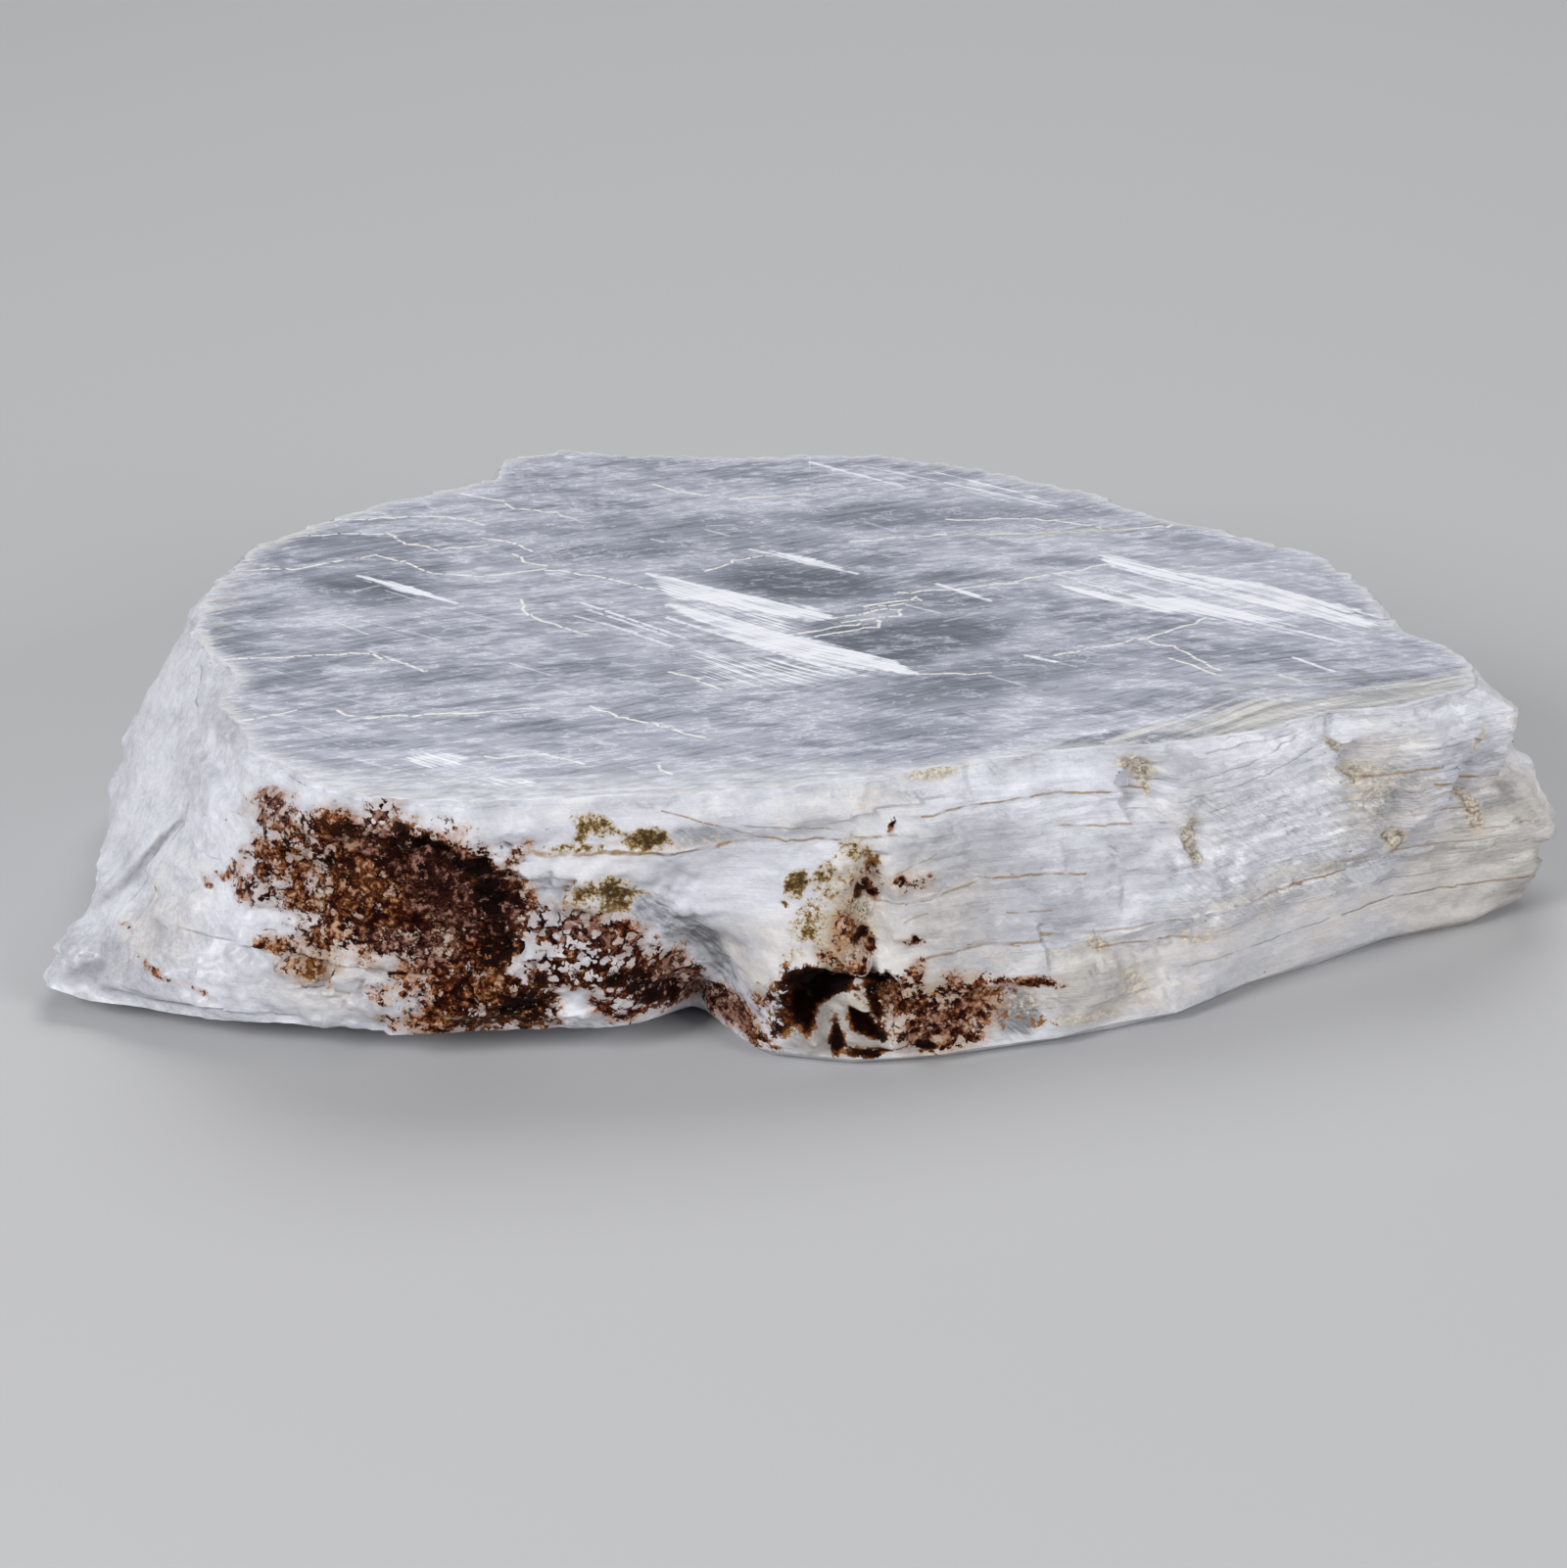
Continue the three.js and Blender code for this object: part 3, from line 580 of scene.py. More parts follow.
rng = np.random.default_rng(11)
for count, degrees, spread in ((50, -36, 5), (50, 12, 9)):
    for _ in range(count):
        start = rng.uniform((-85, -60), (95, 75))
        slope = np.radians(rng.normal(degrees, spread))
        end = start + rng.uniform(1.5, 9) * np.array([np.cos(slope), np.sin(slope)])
        GLINTS.append((rng.uniform(0.15, 0.6), rng.uniform(0.2, 0.42), tuple(start), tuple(end)))


def patches(spots, right, up):
    """The strongest patch at each point: strength x S-curve of (1.6 - distance in half sizes) / 1.2,
    for a list of (two places of the middle, degrees, half length, half width, strength)."""
    strongest = np.zeros(len(right))
    for middle_right, middle_up, degrees, half_length, half_width, strength in spots:
        x, y = right - middle_right, up - middle_up
        c, s = np.cos(np.radians(degrees)), np.sin(np.radians(degrees))
        away = np.hypot((c * x + s * y) / half_length, (c * y - s * x) / half_width)
        strongest = np.maximum(strongest, strength * smooth((1.6 - away) / 1.2))
    return strongest


def inlaid(shapes, x, y):
    """The strongest shape at each point: strength x (1/2 + distance inside / width of the soft edge),
    held between 0 and the strength; the distance inside is the least one from the sides' lines."""
    strongest = np.zeros(len(x))
    for strength, soft, corners in shapes:
        starts = np.array(corners, float)
        runs = np.roll(starts, -1, axis=0) - starts
        runs /= np.linalg.norm(runs, axis=1)[:, None]
        inside = (runs[:, :1] * (y - starts[:, 1:]) - runs[:, 1:] * (x - starts[:, :1])).min(axis=0)
        strongest = np.maximum(strongest, strength * np.clip(0.5 + inside / soft, 0, 1))
    return strongest


note("feather", inlaid(FEATHERS, points[:, 0], points[:, 1]))
note("clear_painted_dark", patches(CLEAR_ZONES_PAINTED_DARK, points[:, 0], points[:, 1]))
note("beige", patches(BEIGE_BAND, points[:, 0], points[:, 1]))
top_lines = [(1.0, CRACK_HALF, crooked(corners, LINE_PACE, CRACK_SWAY, seed))
             for seed, corners in enumerate(CRACKS)]
top_lines += [(-strength, width, np.array([start, end])) for strength, width, start, end in GLINTS]
note("top_line", nearest_lines(top_lines, points[loop_point][:, :2], finish == 0), "CORNER")


def add(tree, kind, values=None, **settings):
    """One node: settings are its own properties; values go to its inputs by name or number, where
    a socket is linked and anything else is typed in."""
    node = tree.nodes.new(kind)
    for name, value in settings.items():
        setattr(node, name, value)
    for key, value in (values or {}).items():
        if isinstance(value, bpy.types.NodeSocket):
            tree.links.new(value, node.inputs[key])
        else:
            node.inputs[key].default_value = value
    return node


def calc(tree, operation, *values):
    """The result of one Math node."""
    return add(tree, "ShaderNodeMath", dict(enumerate(values)), operation=operation).outputs[0]


def times(tree, value, by):
    """value x by."""
    return calc(tree, "MULTIPLY", value, by)


def scaled(tree, value, by, start):
    """value x by + start."""
    return calc(tree, "MULTIPLY_ADD", value, by, start)


def vector(tree, operation, *values, output=0):
    """The result of one Vector Math node."""
    return add(tree, "ShaderNodeVectorMath", dict(enumerate(values)), operation=operation).outputs[output]


def larger(tree, one, other):
    """The larger of two values."""
    return calc(tree, "MAXIMUM", one, other)


def apart(tree, value, middle):
    """How far a value lies from a middle one: |value - middle|."""
    return calc(tree, "ABSOLUTE", calc(tree, "SUBTRACT", value, middle))


def sway(tree, value, *noises):
    """A value moved by noises about their middles: value + the sum of (noise - 1/2) x amount."""
    for noise_value, amount in noises:
        value = scaled(tree, calc(tree, "SUBTRACT", noise_value, 0.5), amount, value)
    return value


def mixed(tree, share, start, end):
    """One colour blended into another."""
    return add(tree, "ShaderNodeMix", {0: share, 6: start, 7: end}, data_type="RGBA").outputs[2]


def curved(tree, value, low, high, start=0.0, end=1.0):
    """A value from low to high turned by an S-curve into one from start to end."""
    values = {"Value": value, "From Min": low, "From Max": high, "To Min": start, "To Max": end}
    return add(tree, "ShaderNodeMapRange", values, interpolation_type="SMOOTHSTEP").outputs[0]


def ramp(tree, value, *stops):
    """A value turned into a colour by (position, colour) stops."""
    node = add(tree, "ShaderNodeValToRGB", {0: value})
    elements = node.color_ramp.elements
    while len(elements) < len(stops):
        elements.new(0.5)
    for element, (position, colour) in zip(elements, stops):
        element.position = position
        element.color = (*colour, 1)
    return node.outputs[0]


def read(tree, name, output="Fac"):
    """What the mesh keeps under a name."""
    return add(tree, "ShaderNodeAttribute", attribute_name=name).outputs[output]


FLOAT, VECTOR = "NodeSocketFloat", "NodeSocketVector"


def new_group(name, inputs, outputs):
    """An empty node group with these sockets by name and kind, what comes in and what goes out."""
    group = bpy.data.node_groups.new(name, "ShaderNodeTree")
    for way, sockets in (("INPUT", inputs), ("OUTPUT", outputs)):
        for socket, kind in sockets.items():
            group.interface.new_socket(socket, in_out=way, socket_type=kind)
    return group, group.nodes.new("NodeGroupInput").outputs, group.nodes.new("NodeGroupOutput").inputs


# The grain group: noise that runs one way over a plane, with its sizes in millimetres.
grain_inputs = {"Place": VECTOR, "Turn": FLOAT, "Size": VECTOR, "Detail": FLOAT, "Roughness": FLOAT}
grain_group, given, taken = new_group("Running grain", grain_inputs, {"Grain": FLOAT})
turned = add(grain_group, "ShaderNodeVectorRotate", {"Vector": given["Place"], "Angle": given["Turn"]},
             rotation_type="Z_AXIS")
sized = vector(grain_group, "DIVIDE", turned.outputs[0], given["Size"])
streaks = add(grain_group, "ShaderNodeTexNoise", {
    "Vector": sized, "Scale": 1.0, "Detail": given["Detail"], "Roughness": given["Roughness"]},
    noise_dimensions="2D")
grain_group.links.new(streaks.outputs[0], taken["Grain"])

# The line group: a mask from how far a place lies from the nearest line, as the mesh keeps it.
line_inputs = {"Line": VECTOR, "Waver": FLOAT}
line_group, given, taken = new_group("Nearest line", line_inputs, {"Mask": FLOAT, "Sign": FLOAT})
parts = add(line_group, "ShaderNodeSeparateXYZ", {0: given["Line"]}).outputs
across = calc(line_group, "ADD", parts[0], given["Waver"])
past = larger(line_group, parts[1], 0.0)
away = calc(line_group, "SQRT", scaled(line_group, across, across, times(line_group, past, past)))
shown = times(line_group, curved(line_group, away, 1.3, 0.3), calc(line_group, "ABSOLUTE", parts[2]))
line_group.links.new(shown, taken["Mask"])
line_group.links.new(calc(line_group, "GREATER_THAN", parts[2], 0.0), taken["Sign"])


def grain(tree, place, degrees, size, detail=3.0, roughness=0.6):
    """Noise that runs one way over a plane: its size in millimetres along and across that way."""
    node = add(tree, "ShaderNodeGroup", node_tree=grain_group)
    tree.links.new(place, node.inputs["Place"])
    node.inputs["Turn"].default_value = -np.radians(degrees)
    node.inputs["Size"].default_value = (*size, 1)
    node.inputs["Detail"].default_value = detail
    node.inputs["Roughness"].default_value = roughness
    return node.outputs[0]


def line_mask(tree, name, waver):
    """The mask of the lines kept under a name, and 1 or 0 for which of its two kinds each is."""
    node = add(tree, "ShaderNodeGroup", node_tree=line_group)
    tree.links.new(read(tree, name, "Vector"), node.inputs["Line"])
    tree.links.new(waver, node.inputs["Waver"])
    return node.outputs["Mask"], node.outputs["Sign"]


SELENITE_IOR = 1.52


def new_finish(name):
    """One more finish for the slab's mesh: its node tree and its surface."""
    material = bpy.data.materials.new(name)
    material.use_nodes = True
    mesh.materials.append(material)
    surface = material.node_tree.nodes["Principled BSDF"]
    surface.inputs["IOR"].default_value = SELENITE_IOR
    return material.node_tree, surface


def dress(tree, surface, colour, roughness, relief, strength, depth):
    """Puts a colour, a roughness and a bump of some depth in metres on a surface."""
    bump = add(tree, "ShaderNodeBump", {"Height": relief, "Strength": strength, "Distance": depth})
    tree.links.new(colour, surface.inputs["Base Color"])
    tree.links.new(roughness, surface.inputs["Roughness"])
    tree.links.new(bump.outputs[0], surface.inputs["Normal"])


tree, skin = new_finish("Cleavage plane of the top")
place, flow = read(tree, "plan", "Vector"), read(tree, "flow", "Vector")

# Broad clouds, soft streaks that bend a little, fine smoke, and white threads along its edges.
cloud, haze = read(tree, "cloud"), read(tree, "haze")
barb = grain(tree, flow, -37, (22, 0.55), 3, 0.6)
fold = grain(tree, flow, 24, (24, 1.2), 4, 0.6)
wisp = grain(tree, place, 8, (4.2, 1.5), 5, 0.62)
scratch = grain(tree, flow, 11, (6, 0.34), 3, 0.62)
veil = curved(tree, sway(tree, haze, (wisp, 0.4)), 0.36, 0.64)
scratchy = curved(tree, sway(tree, haze, (wisp, 1.0)), 0.4, 0.7, 0.05, 0.45)
folded = curved(tree, cloud, 0.42, 0.6, 0.5, 0.25)
tone = sway(tree, 0.495, (cloud, 0.64), (veil, 0.18), (wisp, 0.27), (scratch, scratchy), (fold, folded))
curl = grain(tree, flow, 0, (2.6, 1.5), 2, 0.55)
thread = larger(tree, curved(tree, apart(tree, curl, 0.5), 0.06, 0.01),
              curved(tree, apart(tree, fold, 0.5), 0.05, 0.01, 0.0, 0.8))
thread = times(tree, thread, curved(tree, sway(tree, haze, (wisp, 1.5)), 0.46, 0.7, 0.0, 0.38))
crease = curved(tree, apart(tree, fold, 0.42), 0.028, 0.006)
crease = times(tree, crease, curved(tree, haze, 0.36, 0.52, 0.26, 0.0))
tone = calc(tree, "SUBTRACT", calc(tree, "ADD", tone, thread), crease)
# Where the crystal is clear it is painted darker: painted shade for the dark surroundings seen through it and
# reflected in it.
clear_painted_dark = sway(tree, read(tree, "clear_painted_dark"), (haze, 0.9), (wisp, 0.8))
tone = scaled(tree, curved(tree, clear_painted_dark, 0.1, 1.0), -0.46, tone)
BLUE_GREYS = ((0.0, (0.125, 0.138, 0.175)), (0.28, (0.262, 0.279, 0.338)), (0.52, (0.44, 0.457, 0.532)),
              (0.8, (0.60, 0.617, 0.695)), (1.0, (0.72, 0.735, 0.82)))
colour = ramp(tree, tone, *BLUE_GREYS)

# Feathers: the crystal has parted inside; their barbs run all one way and end raggedly. Their white is a
# painted reflection of light off the partings.
feather = sway(tree, read(tree, "feather"), (barb, 1.15), (wisp, 0.5))
uneven = curved(tree, sway(tree, haze, (barb, 1.3)), 0.2, 0.6, 0.62, 1.0)
shine = times(tree, curved(tree, feather, 0.38, 0.85), uneven)
colour = mixed(tree, shine, colour, ramp(tree, shine, (0.3, (0.62, 0.64, 0.73)), (0.9, (0.94, 0.95, 1.0))))
lines, is_crack = line_mask(tree, "top_line", times(tree, calc(tree, "SUBTRACT", wisp, 0.5), 1.8))
line_colour = mixed(tree, is_crack, (0.92, 0.93, 1.0, 1), (0.93, 0.90, 0.84, 1))
colour = mixed(tree, times(tree, lines, curved(tree, wisp, 0.36, 0.5, 0.7, 1.0)), colour, line_colour)

# Beige layers crop out beside the right front rim.
beige = scaled(tree, clear_painted_dark, -0.5, sway(tree, read(tree, "beige"), (fold, 1.0)))
beige = curved(tree, beige, 0.3, 0.8, 0.0, 0.85)
colour = mixed(tree, beige, colour, ramp(tree, fold, (0.34, (0.29, 0.282, 0.275)), (0.5, (0.41, 0.397, 0.38)),
                                         (0.64, (0.62, 0.60, 0.575))))

# The rim is bruised to a white frost, widest at the left front, and a pale painted highlight runs along its
# edge.
rim_along = read(tree, "along")
at_left_front = times(tree, curved(tree, rim_along, 75, 95), curved(tree, rim_along, 190, 165))
frost_width = scaled(tree, at_left_front, 9.0, 3.0)
from_rim = read(tree, "inside_rim")
frost = curved(tree, calc(tree, "DIVIDE", sway(tree, from_rim, (wisp, 10.0)), frost_width), 1.1, 0.0)
frost_tone = ramp(tree, wisp, (0.34, (0.45, 0.455, 0.49)), (0.6, (0.76, 0.765, 0.80)))
colour = mixed(tree, times(tree, frost, 0.75), colour, frost_tone)
# A pale line along the rim's edge, strongest at the back left: a painted highlight.
rim_highlight = curved(tree, sway(tree, from_rim, (wisp, 5.0), (haze, 6.0)), 0.9, 0.0)
at_back = curved(tree, rim_along, 60, 20, 0.25, 0.8)
colour = mixed(tree, times(tree, rim_highlight, at_back), colour, (0.67, 0.66, 0.65, 1))

ridges = scaled(tree, wisp, curved(tree, from_rim, 6, 1, 0.15, 1.0), times(tree, fold, 0.4))
gloss = scaled(tree, frost, 0.3, scaled(tree, barb, 0.35, 0.08))
dress(tree, skin, colour, gloss, ridges, 0.35, 0.0006)


# ------------------------------------------------------------------------------------------------
# The broken wall: silky white crystal, thinly striped where the growth sheets end in it. Iron oxide
# seeped in and dried as rust and sooty crusts; there are olive specks, smoky spots and clay in pits.
# Painted shade darkens the hollow at the foot and the cleavage steps of the right blocks, and painted
# highlights lighten the pinkish rust.

# Stains, and patches of painted shade, are soft ellipses on the unrolled wall: (along, height, degrees,
# half length, half height, strength).
RUST = [  # iron oxide in the crystal
    (83, 34, 0, 8, 8, 0.58), (80, 40, 10, 7, 3, 0.5), (96, 33, 0, 9, 9, 0.78), (97, 40, 0, 10, 3, 0.8),
    (107, 36, 0, 9, 6, 1.1), (112, 32, -20, 9, 9, 1.15), (118, 30, 20, 6, 9, 1.1), (118, 22, 0, 6, 6, 1.0),
    (105, 27, 0, 10, 5, 0.85), (88, 26, 0, 10, 3, 0.6), (90, 19, 80, 6, 5.5, 0.56),
    (83, 18.5, 0, 3, 1.4, 0.5), (101, 23, -8, 13, 4, 0.72), (110, 19, -20, 7, 4, 0.68),
    (98, 28, 0, 9, 5, 0.82), (108, 13, -30, 4, 3, 0.42), (73, 28, 20, 3, 2, 0.36),
    (79, 25.5, -10, 6, 2.5, 0.5), (106, 17, 0, 7, 4, 0.45), (116, 12, 0, 9, 7, 0.75),
    (124, 12, 0, 7, 6, 0.85), (110, 9, 0, 5, 4, 0.55), (131, 24, -12, 10, 4, 0.55),
    (139, 22, -30, 8, 4, 0.62), (134, 17.5, -5, 12, 3, 0.72), (144, 14, -55, 8, 5, 0.78),
    (139, 10, -30, 5, 3, 0.6), (149, 9, -30, 5, 4, 0.62), (156, 6.5, 0, 7, 3.2, 0.62),
    (101, 44, 20, 3.5, 2.4, 0.55), (124, 38, 40, 3, 1.6, 0.5), (186, 11.5, 0, 4, 3.5, 0.62),
    (191, 8, 0, 7, 6, 0.68), (196, 9.5, 0, 5, 4.5, 0.64), (193, 4, 0, 5, 2, 0.5),
    (204, 11.8, -8, 6, 1.1, 0.6), (382, 33, -30, 5, 2.4, 0.55), (420, 14, 10, 6, 2, 0.5),
    (-92, 11, 20, 6, 2.4, 0.55), (187, 29, 0, 4, 2, 0.45), (187, 20, 0, 2.4, 1.2, 0.5),
    (184.6, 38.3, 60, 1.2, 0.6, 0.72), (181, 28.3, -60, 2.2, 1.1, 0.75), (177.5, 25, 72, 7, 2.8, 0.4),
    (181, 32, -70, 4, 1.2, 0.5), (178, 16.6, 15, 3, 1.6, 0.6), (174.5, 18, -35, 3.5, 1.4, 0.5),
    (180.4, 20, -70, 3, 1.2, 0.55), (187.5, 14, 70, 3, 2, 0.6), (55.5, 19.4, 0, 0.8, 0.5, 0.5),
    (68, 10.6, -15, 5, 0.6, 0.36), (66, 24, 0, 3, 0.5, 0.36), (70, 26, 10, 3, 0.6, 0.36),
    (56, 14, 0, 2, 0.3, 0.36), (74, 9.6, -20, 3, 0.6, 0.38), (104, 13, 0, 5, 2, 0.42),
    (103, 8, 0, 3, 1.5, 0.4), (164.5, 12.5, 50, 4, 2.0, 0.5), (184.5, 11, 0, 3.5, 2.4, 0.55),
    (161, 5, -30, 5, 2.4, 0.6),
]
SOOT = [  # where it dried to a crust
    (94, 40.5, -8, 6, 1.6, 0.6), (103, 39.5, 5, 7, 2.2, 0.7), (110, 40, -22, 7, 2.0, 0.85),
    (116, 36.5, -30, 6, 2.4, 0.8), (111, 34, 60, 8, 5, 0.5), (119, 31, 70, 7, 3, 0.75),
    (95, 31, -20, 7, 4, 0.45), (88, 35, 0, 3, 5, 0.4), (90, 27, 70, 4, 1.5, 0.5), (119, 22, 0, 4, 5, 0.75),
    (112, 23, 0, 4, 3, 0.5), (125, 12, 20, 7, 4, 0.75), (118, 8, 30, 5, 3, 0.5),
    (139, 16, -10, 8, 2.2, 0.6), (145, 11, -50, 6, 3, 0.7), (128, 16, 0, 4, 3, 0.6),
    (107, 33, 0, 5, 5, 0.35), (179.2, 28.3, 60, 2.6, 1.6, 0.85), (179, 21.4, 10, 2.0, 1.2, 0.8),
    (177, 18.6, 20, 2.4, 1.2, 0.55), (176.6, 23.6, 70, 1.8, 1.0, 0.55), (181, 33.4, -60, 1.8, 1.1, 0.6),
    (151, 13, 0, 2, 1.5, 0.6), (199.5, 8, 80, 3, 1.2, 0.45), (91, 17, 70, 4, 3, 0.45),
    (163, 6, 0, 2.5, 2, 0.4), (202, 10.3, -10, 4, 0.8, 0.5), (205, 5, 0, 5, 1.2, 0.45),
    (201, 6, 80, 3, 1.0, 0.45),
]
HOLLOW_SHADE_AND_STAIN = [  # the hollow at the foot, as outlines: burnt-brown stain, with painted shade darkening its inside
    (0.86, 3.0, [(164.6, 8), (167, 5), (170.6, 7.6), (170.6, 17), (168, 17.4), (165.0, 15.4)]),
    (1.3, 2.6, [(167.6, 8), (170.5, 6.5), (174.5, 9.3), (175.2, 16.6), (170.5, 17.6), (167.4, 17.2)]),
    (1.3, 2.4, [(172, 8.6), (177.4, 11.2), (178.6, 13.2), (175.8, 15.2), (173, 16.9)]),
    (0.95, 2.6, [(163.8, 3.6), (167, 4.6), (169.5, 7.5), (165.2, 9)]),
    (0.85, 2.6, [(162.4, 11.2), (166.5, 10), (166.5, 15.8), (164.2, 13.8)]),
    (1.3, 1.6, [(177.6, 13.0), (183.4, 11.8), (184.2, 12.4), (178.6, 14.1)]),
    (0.85, 1.6, [(179.2, 12.9), (180.4, 8.2), (181.7, 7.0), (182.8, 8.4), (182.2, 12.2)]),
    (1.2, 1.6, [(177.0, 7.0), (181.8, 5.7), (182.8, 7.2), (177.4, 9.1)]),
    (0.72, 1.6, [(175, 10.9), (179.6, 10.6), (179.6, 12.4), (176, 12.2)]),
    (1.15, 1.8, [(172, 2.0), (175, 2.0), (176.4, 4.5), (176.1, 6.7), (174.2, 8.2), (172.7, 7.8),
                 (173.6, 5.3)]),
    (0.95, 1.6, [(176, 2.8), (177.6, 2.0), (181.6, 2.0), (182.2, 4.2), (176.4, 4.8)]),
    (1.1, 1.0, [(186.6, 3.2), (190.2, 2.8), (189.8, 4.4), (187, 4.7)]),
    (0.9, 0.9, [(182.6, 5.8), (190.6, 6.2), (190.4, 7.0), (184, 7.0)]),
    (0.9, 0.8, [(181.6, 3.0), (187.2, 3.8), (187.2, 4.4), (182, 4.0)]),
]
MAUVE = [  # where the rust is dull and pinkish, as on the bulges at its right; its lighter pink is painted highlight
    (81, 41, 10, 6, 3, 0.8), (101, 43, 20, 4, 3, 1.1), (99, 39, 0, 5, 3, 0.7), (107, 36, -40, 8, 5, 1.0),
    (115, 33, -50, 9, 6, 1.0), (112, 27, -30, 7, 4, 0.8), (120, 26, 60, 5, 4, 0.7),
    (106, 21, -10, 9, 3, 0.8), (152, 9, -30, 10, 5, 0.9), (132, 25, -20, 8, 3, 0.6), (191, 9, 0, 9, 8, 0.4),
    (180, 28, 80, 6, 4, 0.5), (76, 29, 0, 5, 5, 0.3),
]
CHIPS = [  # where the rust only fills the gaps between white chips of crystal
    (101, 43.6, 20, 3, 1.8, 0.9), (131, 21.5, -20, 13, 6, 1.0), (124, 8, 0, 9, 4, 0.7),
    (143, 11, -45, 7, 4.5, 0.8), (80, 32, 0, 5, 8, 0.3),
]
OLIVE = [  # olive specks
    (136, 42, -20, 4, 1.6, 0.62), (134, 40.8, 60, 2.4, 1, 0.7), (145.5, 39.3, 0, 4, 1.8, 1.0),
    (137, 30, 0, 6, 3, 0.75), (139, 28, 0, 3, 2.4, 0.75), (144, 29.6, -5, 3, 0.5, 0.7),
    (168.9, 30.4, 60, 2.6, 1.8, 0.85), (173.5, 31.8, 50, 2.6, 1.8, 0.75), (174, 28.6, -60, 2.2, 1.1, 0.62),
    (171.3, 23.3, 50, 3.0, 1.8, 0.85), (178, 35.3, -50, 3.0, 1.6, 0.72), (181, 33.6, -60, 2.4, 1.4, 1.0),
    (173, 27, 60, 9, 3.5, 0.42), (178.5, 33, -70, 6, 3, 0.46), (167, 27.2, -25, 1.0, 0.35, 0.9),
    (91, 18, 75, 6, 4, 0.45), (102, 25, 0, 8, 3, 0.4), (177, 25, 80, 8, 2.5, 0.4),
    (131, 38, 0, 7, 0.8, 0.5), (93, 28, 0, 6, 4, 0.4),
]
SMOKE_AND_STEP_SHADE = [  # smoky clear crystal, and painted shade at the cleavage steps of the right blocks
    (146, 26, -35, 6, 3.2, 0.85), (151.5, 20.5, -50, 7, 3.6, 1.0), (155.5, 14, -60, 6, 2.6, 0.95),
    (159, 9, -20, 5, 2.0, 0.9), (203, 6.5, 80, 4, 3.4, 1.3), (209, 7, 0, 3, 3, 0.6),
    (204, 44, 0, 3.0, 2, 0.55), (57, 7.5, 0, 3, 2.0, 0.85), (62, 6.2, 0, 3, 1.2, 0.7),
    (68, 6.5, 0, 6, 1.2, 0.75), (63, 16.5, 0, 4, 1.2, 0.5), (78, 9, 0, 5, 1.6, 0.4),
    # The upright patches from along 203 to 266 are painted shade at cleavage steps, not smoky crystal.
    (49.5, 23, 78, 9, 1.7, 0.85), (126, 32, 60, 4, 2, 0.5), (203, 31, 60, 5, 3, 0.35),
    (204, 38, 85, 8, 1.8, 0.4), (222, 31, 80, 9, 1.2, 0.5), (215, 26, 95, 7, 1.2, 0.4),
    (231, 28, 100, 6, 1.2, 0.45), (94, 8, 0, 5, 2.5, 0.3), (154, 39.5, 0, 6, 2, 0.6),
    (188, 43, 0, 4, 2, 0.5), (134, 7, 0, 8, 1.8, 0.6), (239, 29, 95, 7, 0.7, 0.35),
    (266, 30, 92, 9, 0.8, 0.5), (28, 42.5, -24, 9, 0.7, 0.5),
]
CLAY = [  # clay in the pits
    (228.6, 43.4, -8, 3.4, 1.4, 1.0), (230.4, 41.6, -50, 2.6, 1.6, 1.0), (231.4, 38.8, 80, 1.8, 0.7, 0.9),
    (236.5, 29.5, 85, 4.5, 1.5, 1.0), (271, 32, 0, 6, 6, 0.55), (277.5, 21.5, -35, 3.0, 2.2, 1.1),
    (290.5, 25, -75, 4.5, 1.8, 0.95), (264.5, 41, -40, 3, 1.0, 0.9), (289.5, 38, 80, 3, 0.8, 0.7),
    (299, 41, 0, 6, 4, 0.5), (217.5, 15.5, -30, 3, 1.4, 0.8), (212, 15, 0, 9, 1.2, 0.4),
    (177.4, 22.5, 75, 8, 3.8, 1.0), (192, 9, 0, 10, 6, 0.5), (236, 14, 0, 4, 2.2, 0.6),
    (224, 6.5, -60, 5, 3, 0.6), (214, 4, 0, 9, 1.4, 0.6), (150, 38.5, 0, 12, 1.4, 0.45),
    (193, 45.5, 0, 7, 1.2, 0.7), (267, 19.5, 0, 9, 1.2, 0.55), (240, 18, 0, 12, 1.0, 0.35),
    (336, 22, 60, 5, 2.4, 0.9), (381, 37, -20, 7, 2.4, 0.8), (418, 9, 10, 9, 3, 0.7),
    (468, 24, 70, 6, 2.6, 0.8), (-140, 36, 20, 7, 3, 0.8), (-96, 8, -10, 9, 3, 0.7),
    (-74, 27, 60, 5, 2, 0.8), (-28, 34, -30, 5, 2, 0.6), (179, 10, -10, 5, 3, 0.5),
    (268.5, 35, 0, 2.5, 2, 0.8), (92, 18, 0, 6, 7, 0.35), (182, 43, 0, 4, 2.6, 0.4),
    (91, 19, 80, 7, 5, 0.6), (204, 8, 0, 4, 3.5, 0.34), (175, 19, -40, 5, 3, 0.8),
]
WARM = [  # where the crystal is faintly beige
    (176, 8, 0, 9, 6, 1.3), (178, 24, 80, 12, 5, 1.5), (191, 8, 0, 10, 7, 1.6), (190, 22, 0, 14, 15, 0.75),
    (162, 19, 0, 12, 8, 0.6), (217, 9, 0, 12, 7, 1.0), (258, 9, 0, 46, 9, 0.6), (299, 13, 0, 18, 18, 1.2),
    (273, 31, 0, 10, 12, 0.7), (301, 42, 0, 9, 6, 0.5), (392, 26, 10, 30, 9, 0.9),
    (-100, 22, -10, 26, 10, 0.8), (470, 12, 0, 24, 8, 0.7), (176, 42, 0, 14, 4, 0.5),
    (96, 15, 0, 16, 8, 0.6), (63, 18, 0, 9, 10, 0.6), (255, 19, 0, 26, 3, 0.6), (236, 36, 0, 7, 10, 0.4),
    (136, 37, 0, 12, 6, 0.4), (206, 8, 0, 10, 6, 0.6), (140, 44, 0, 30, 2, 0.4),
]
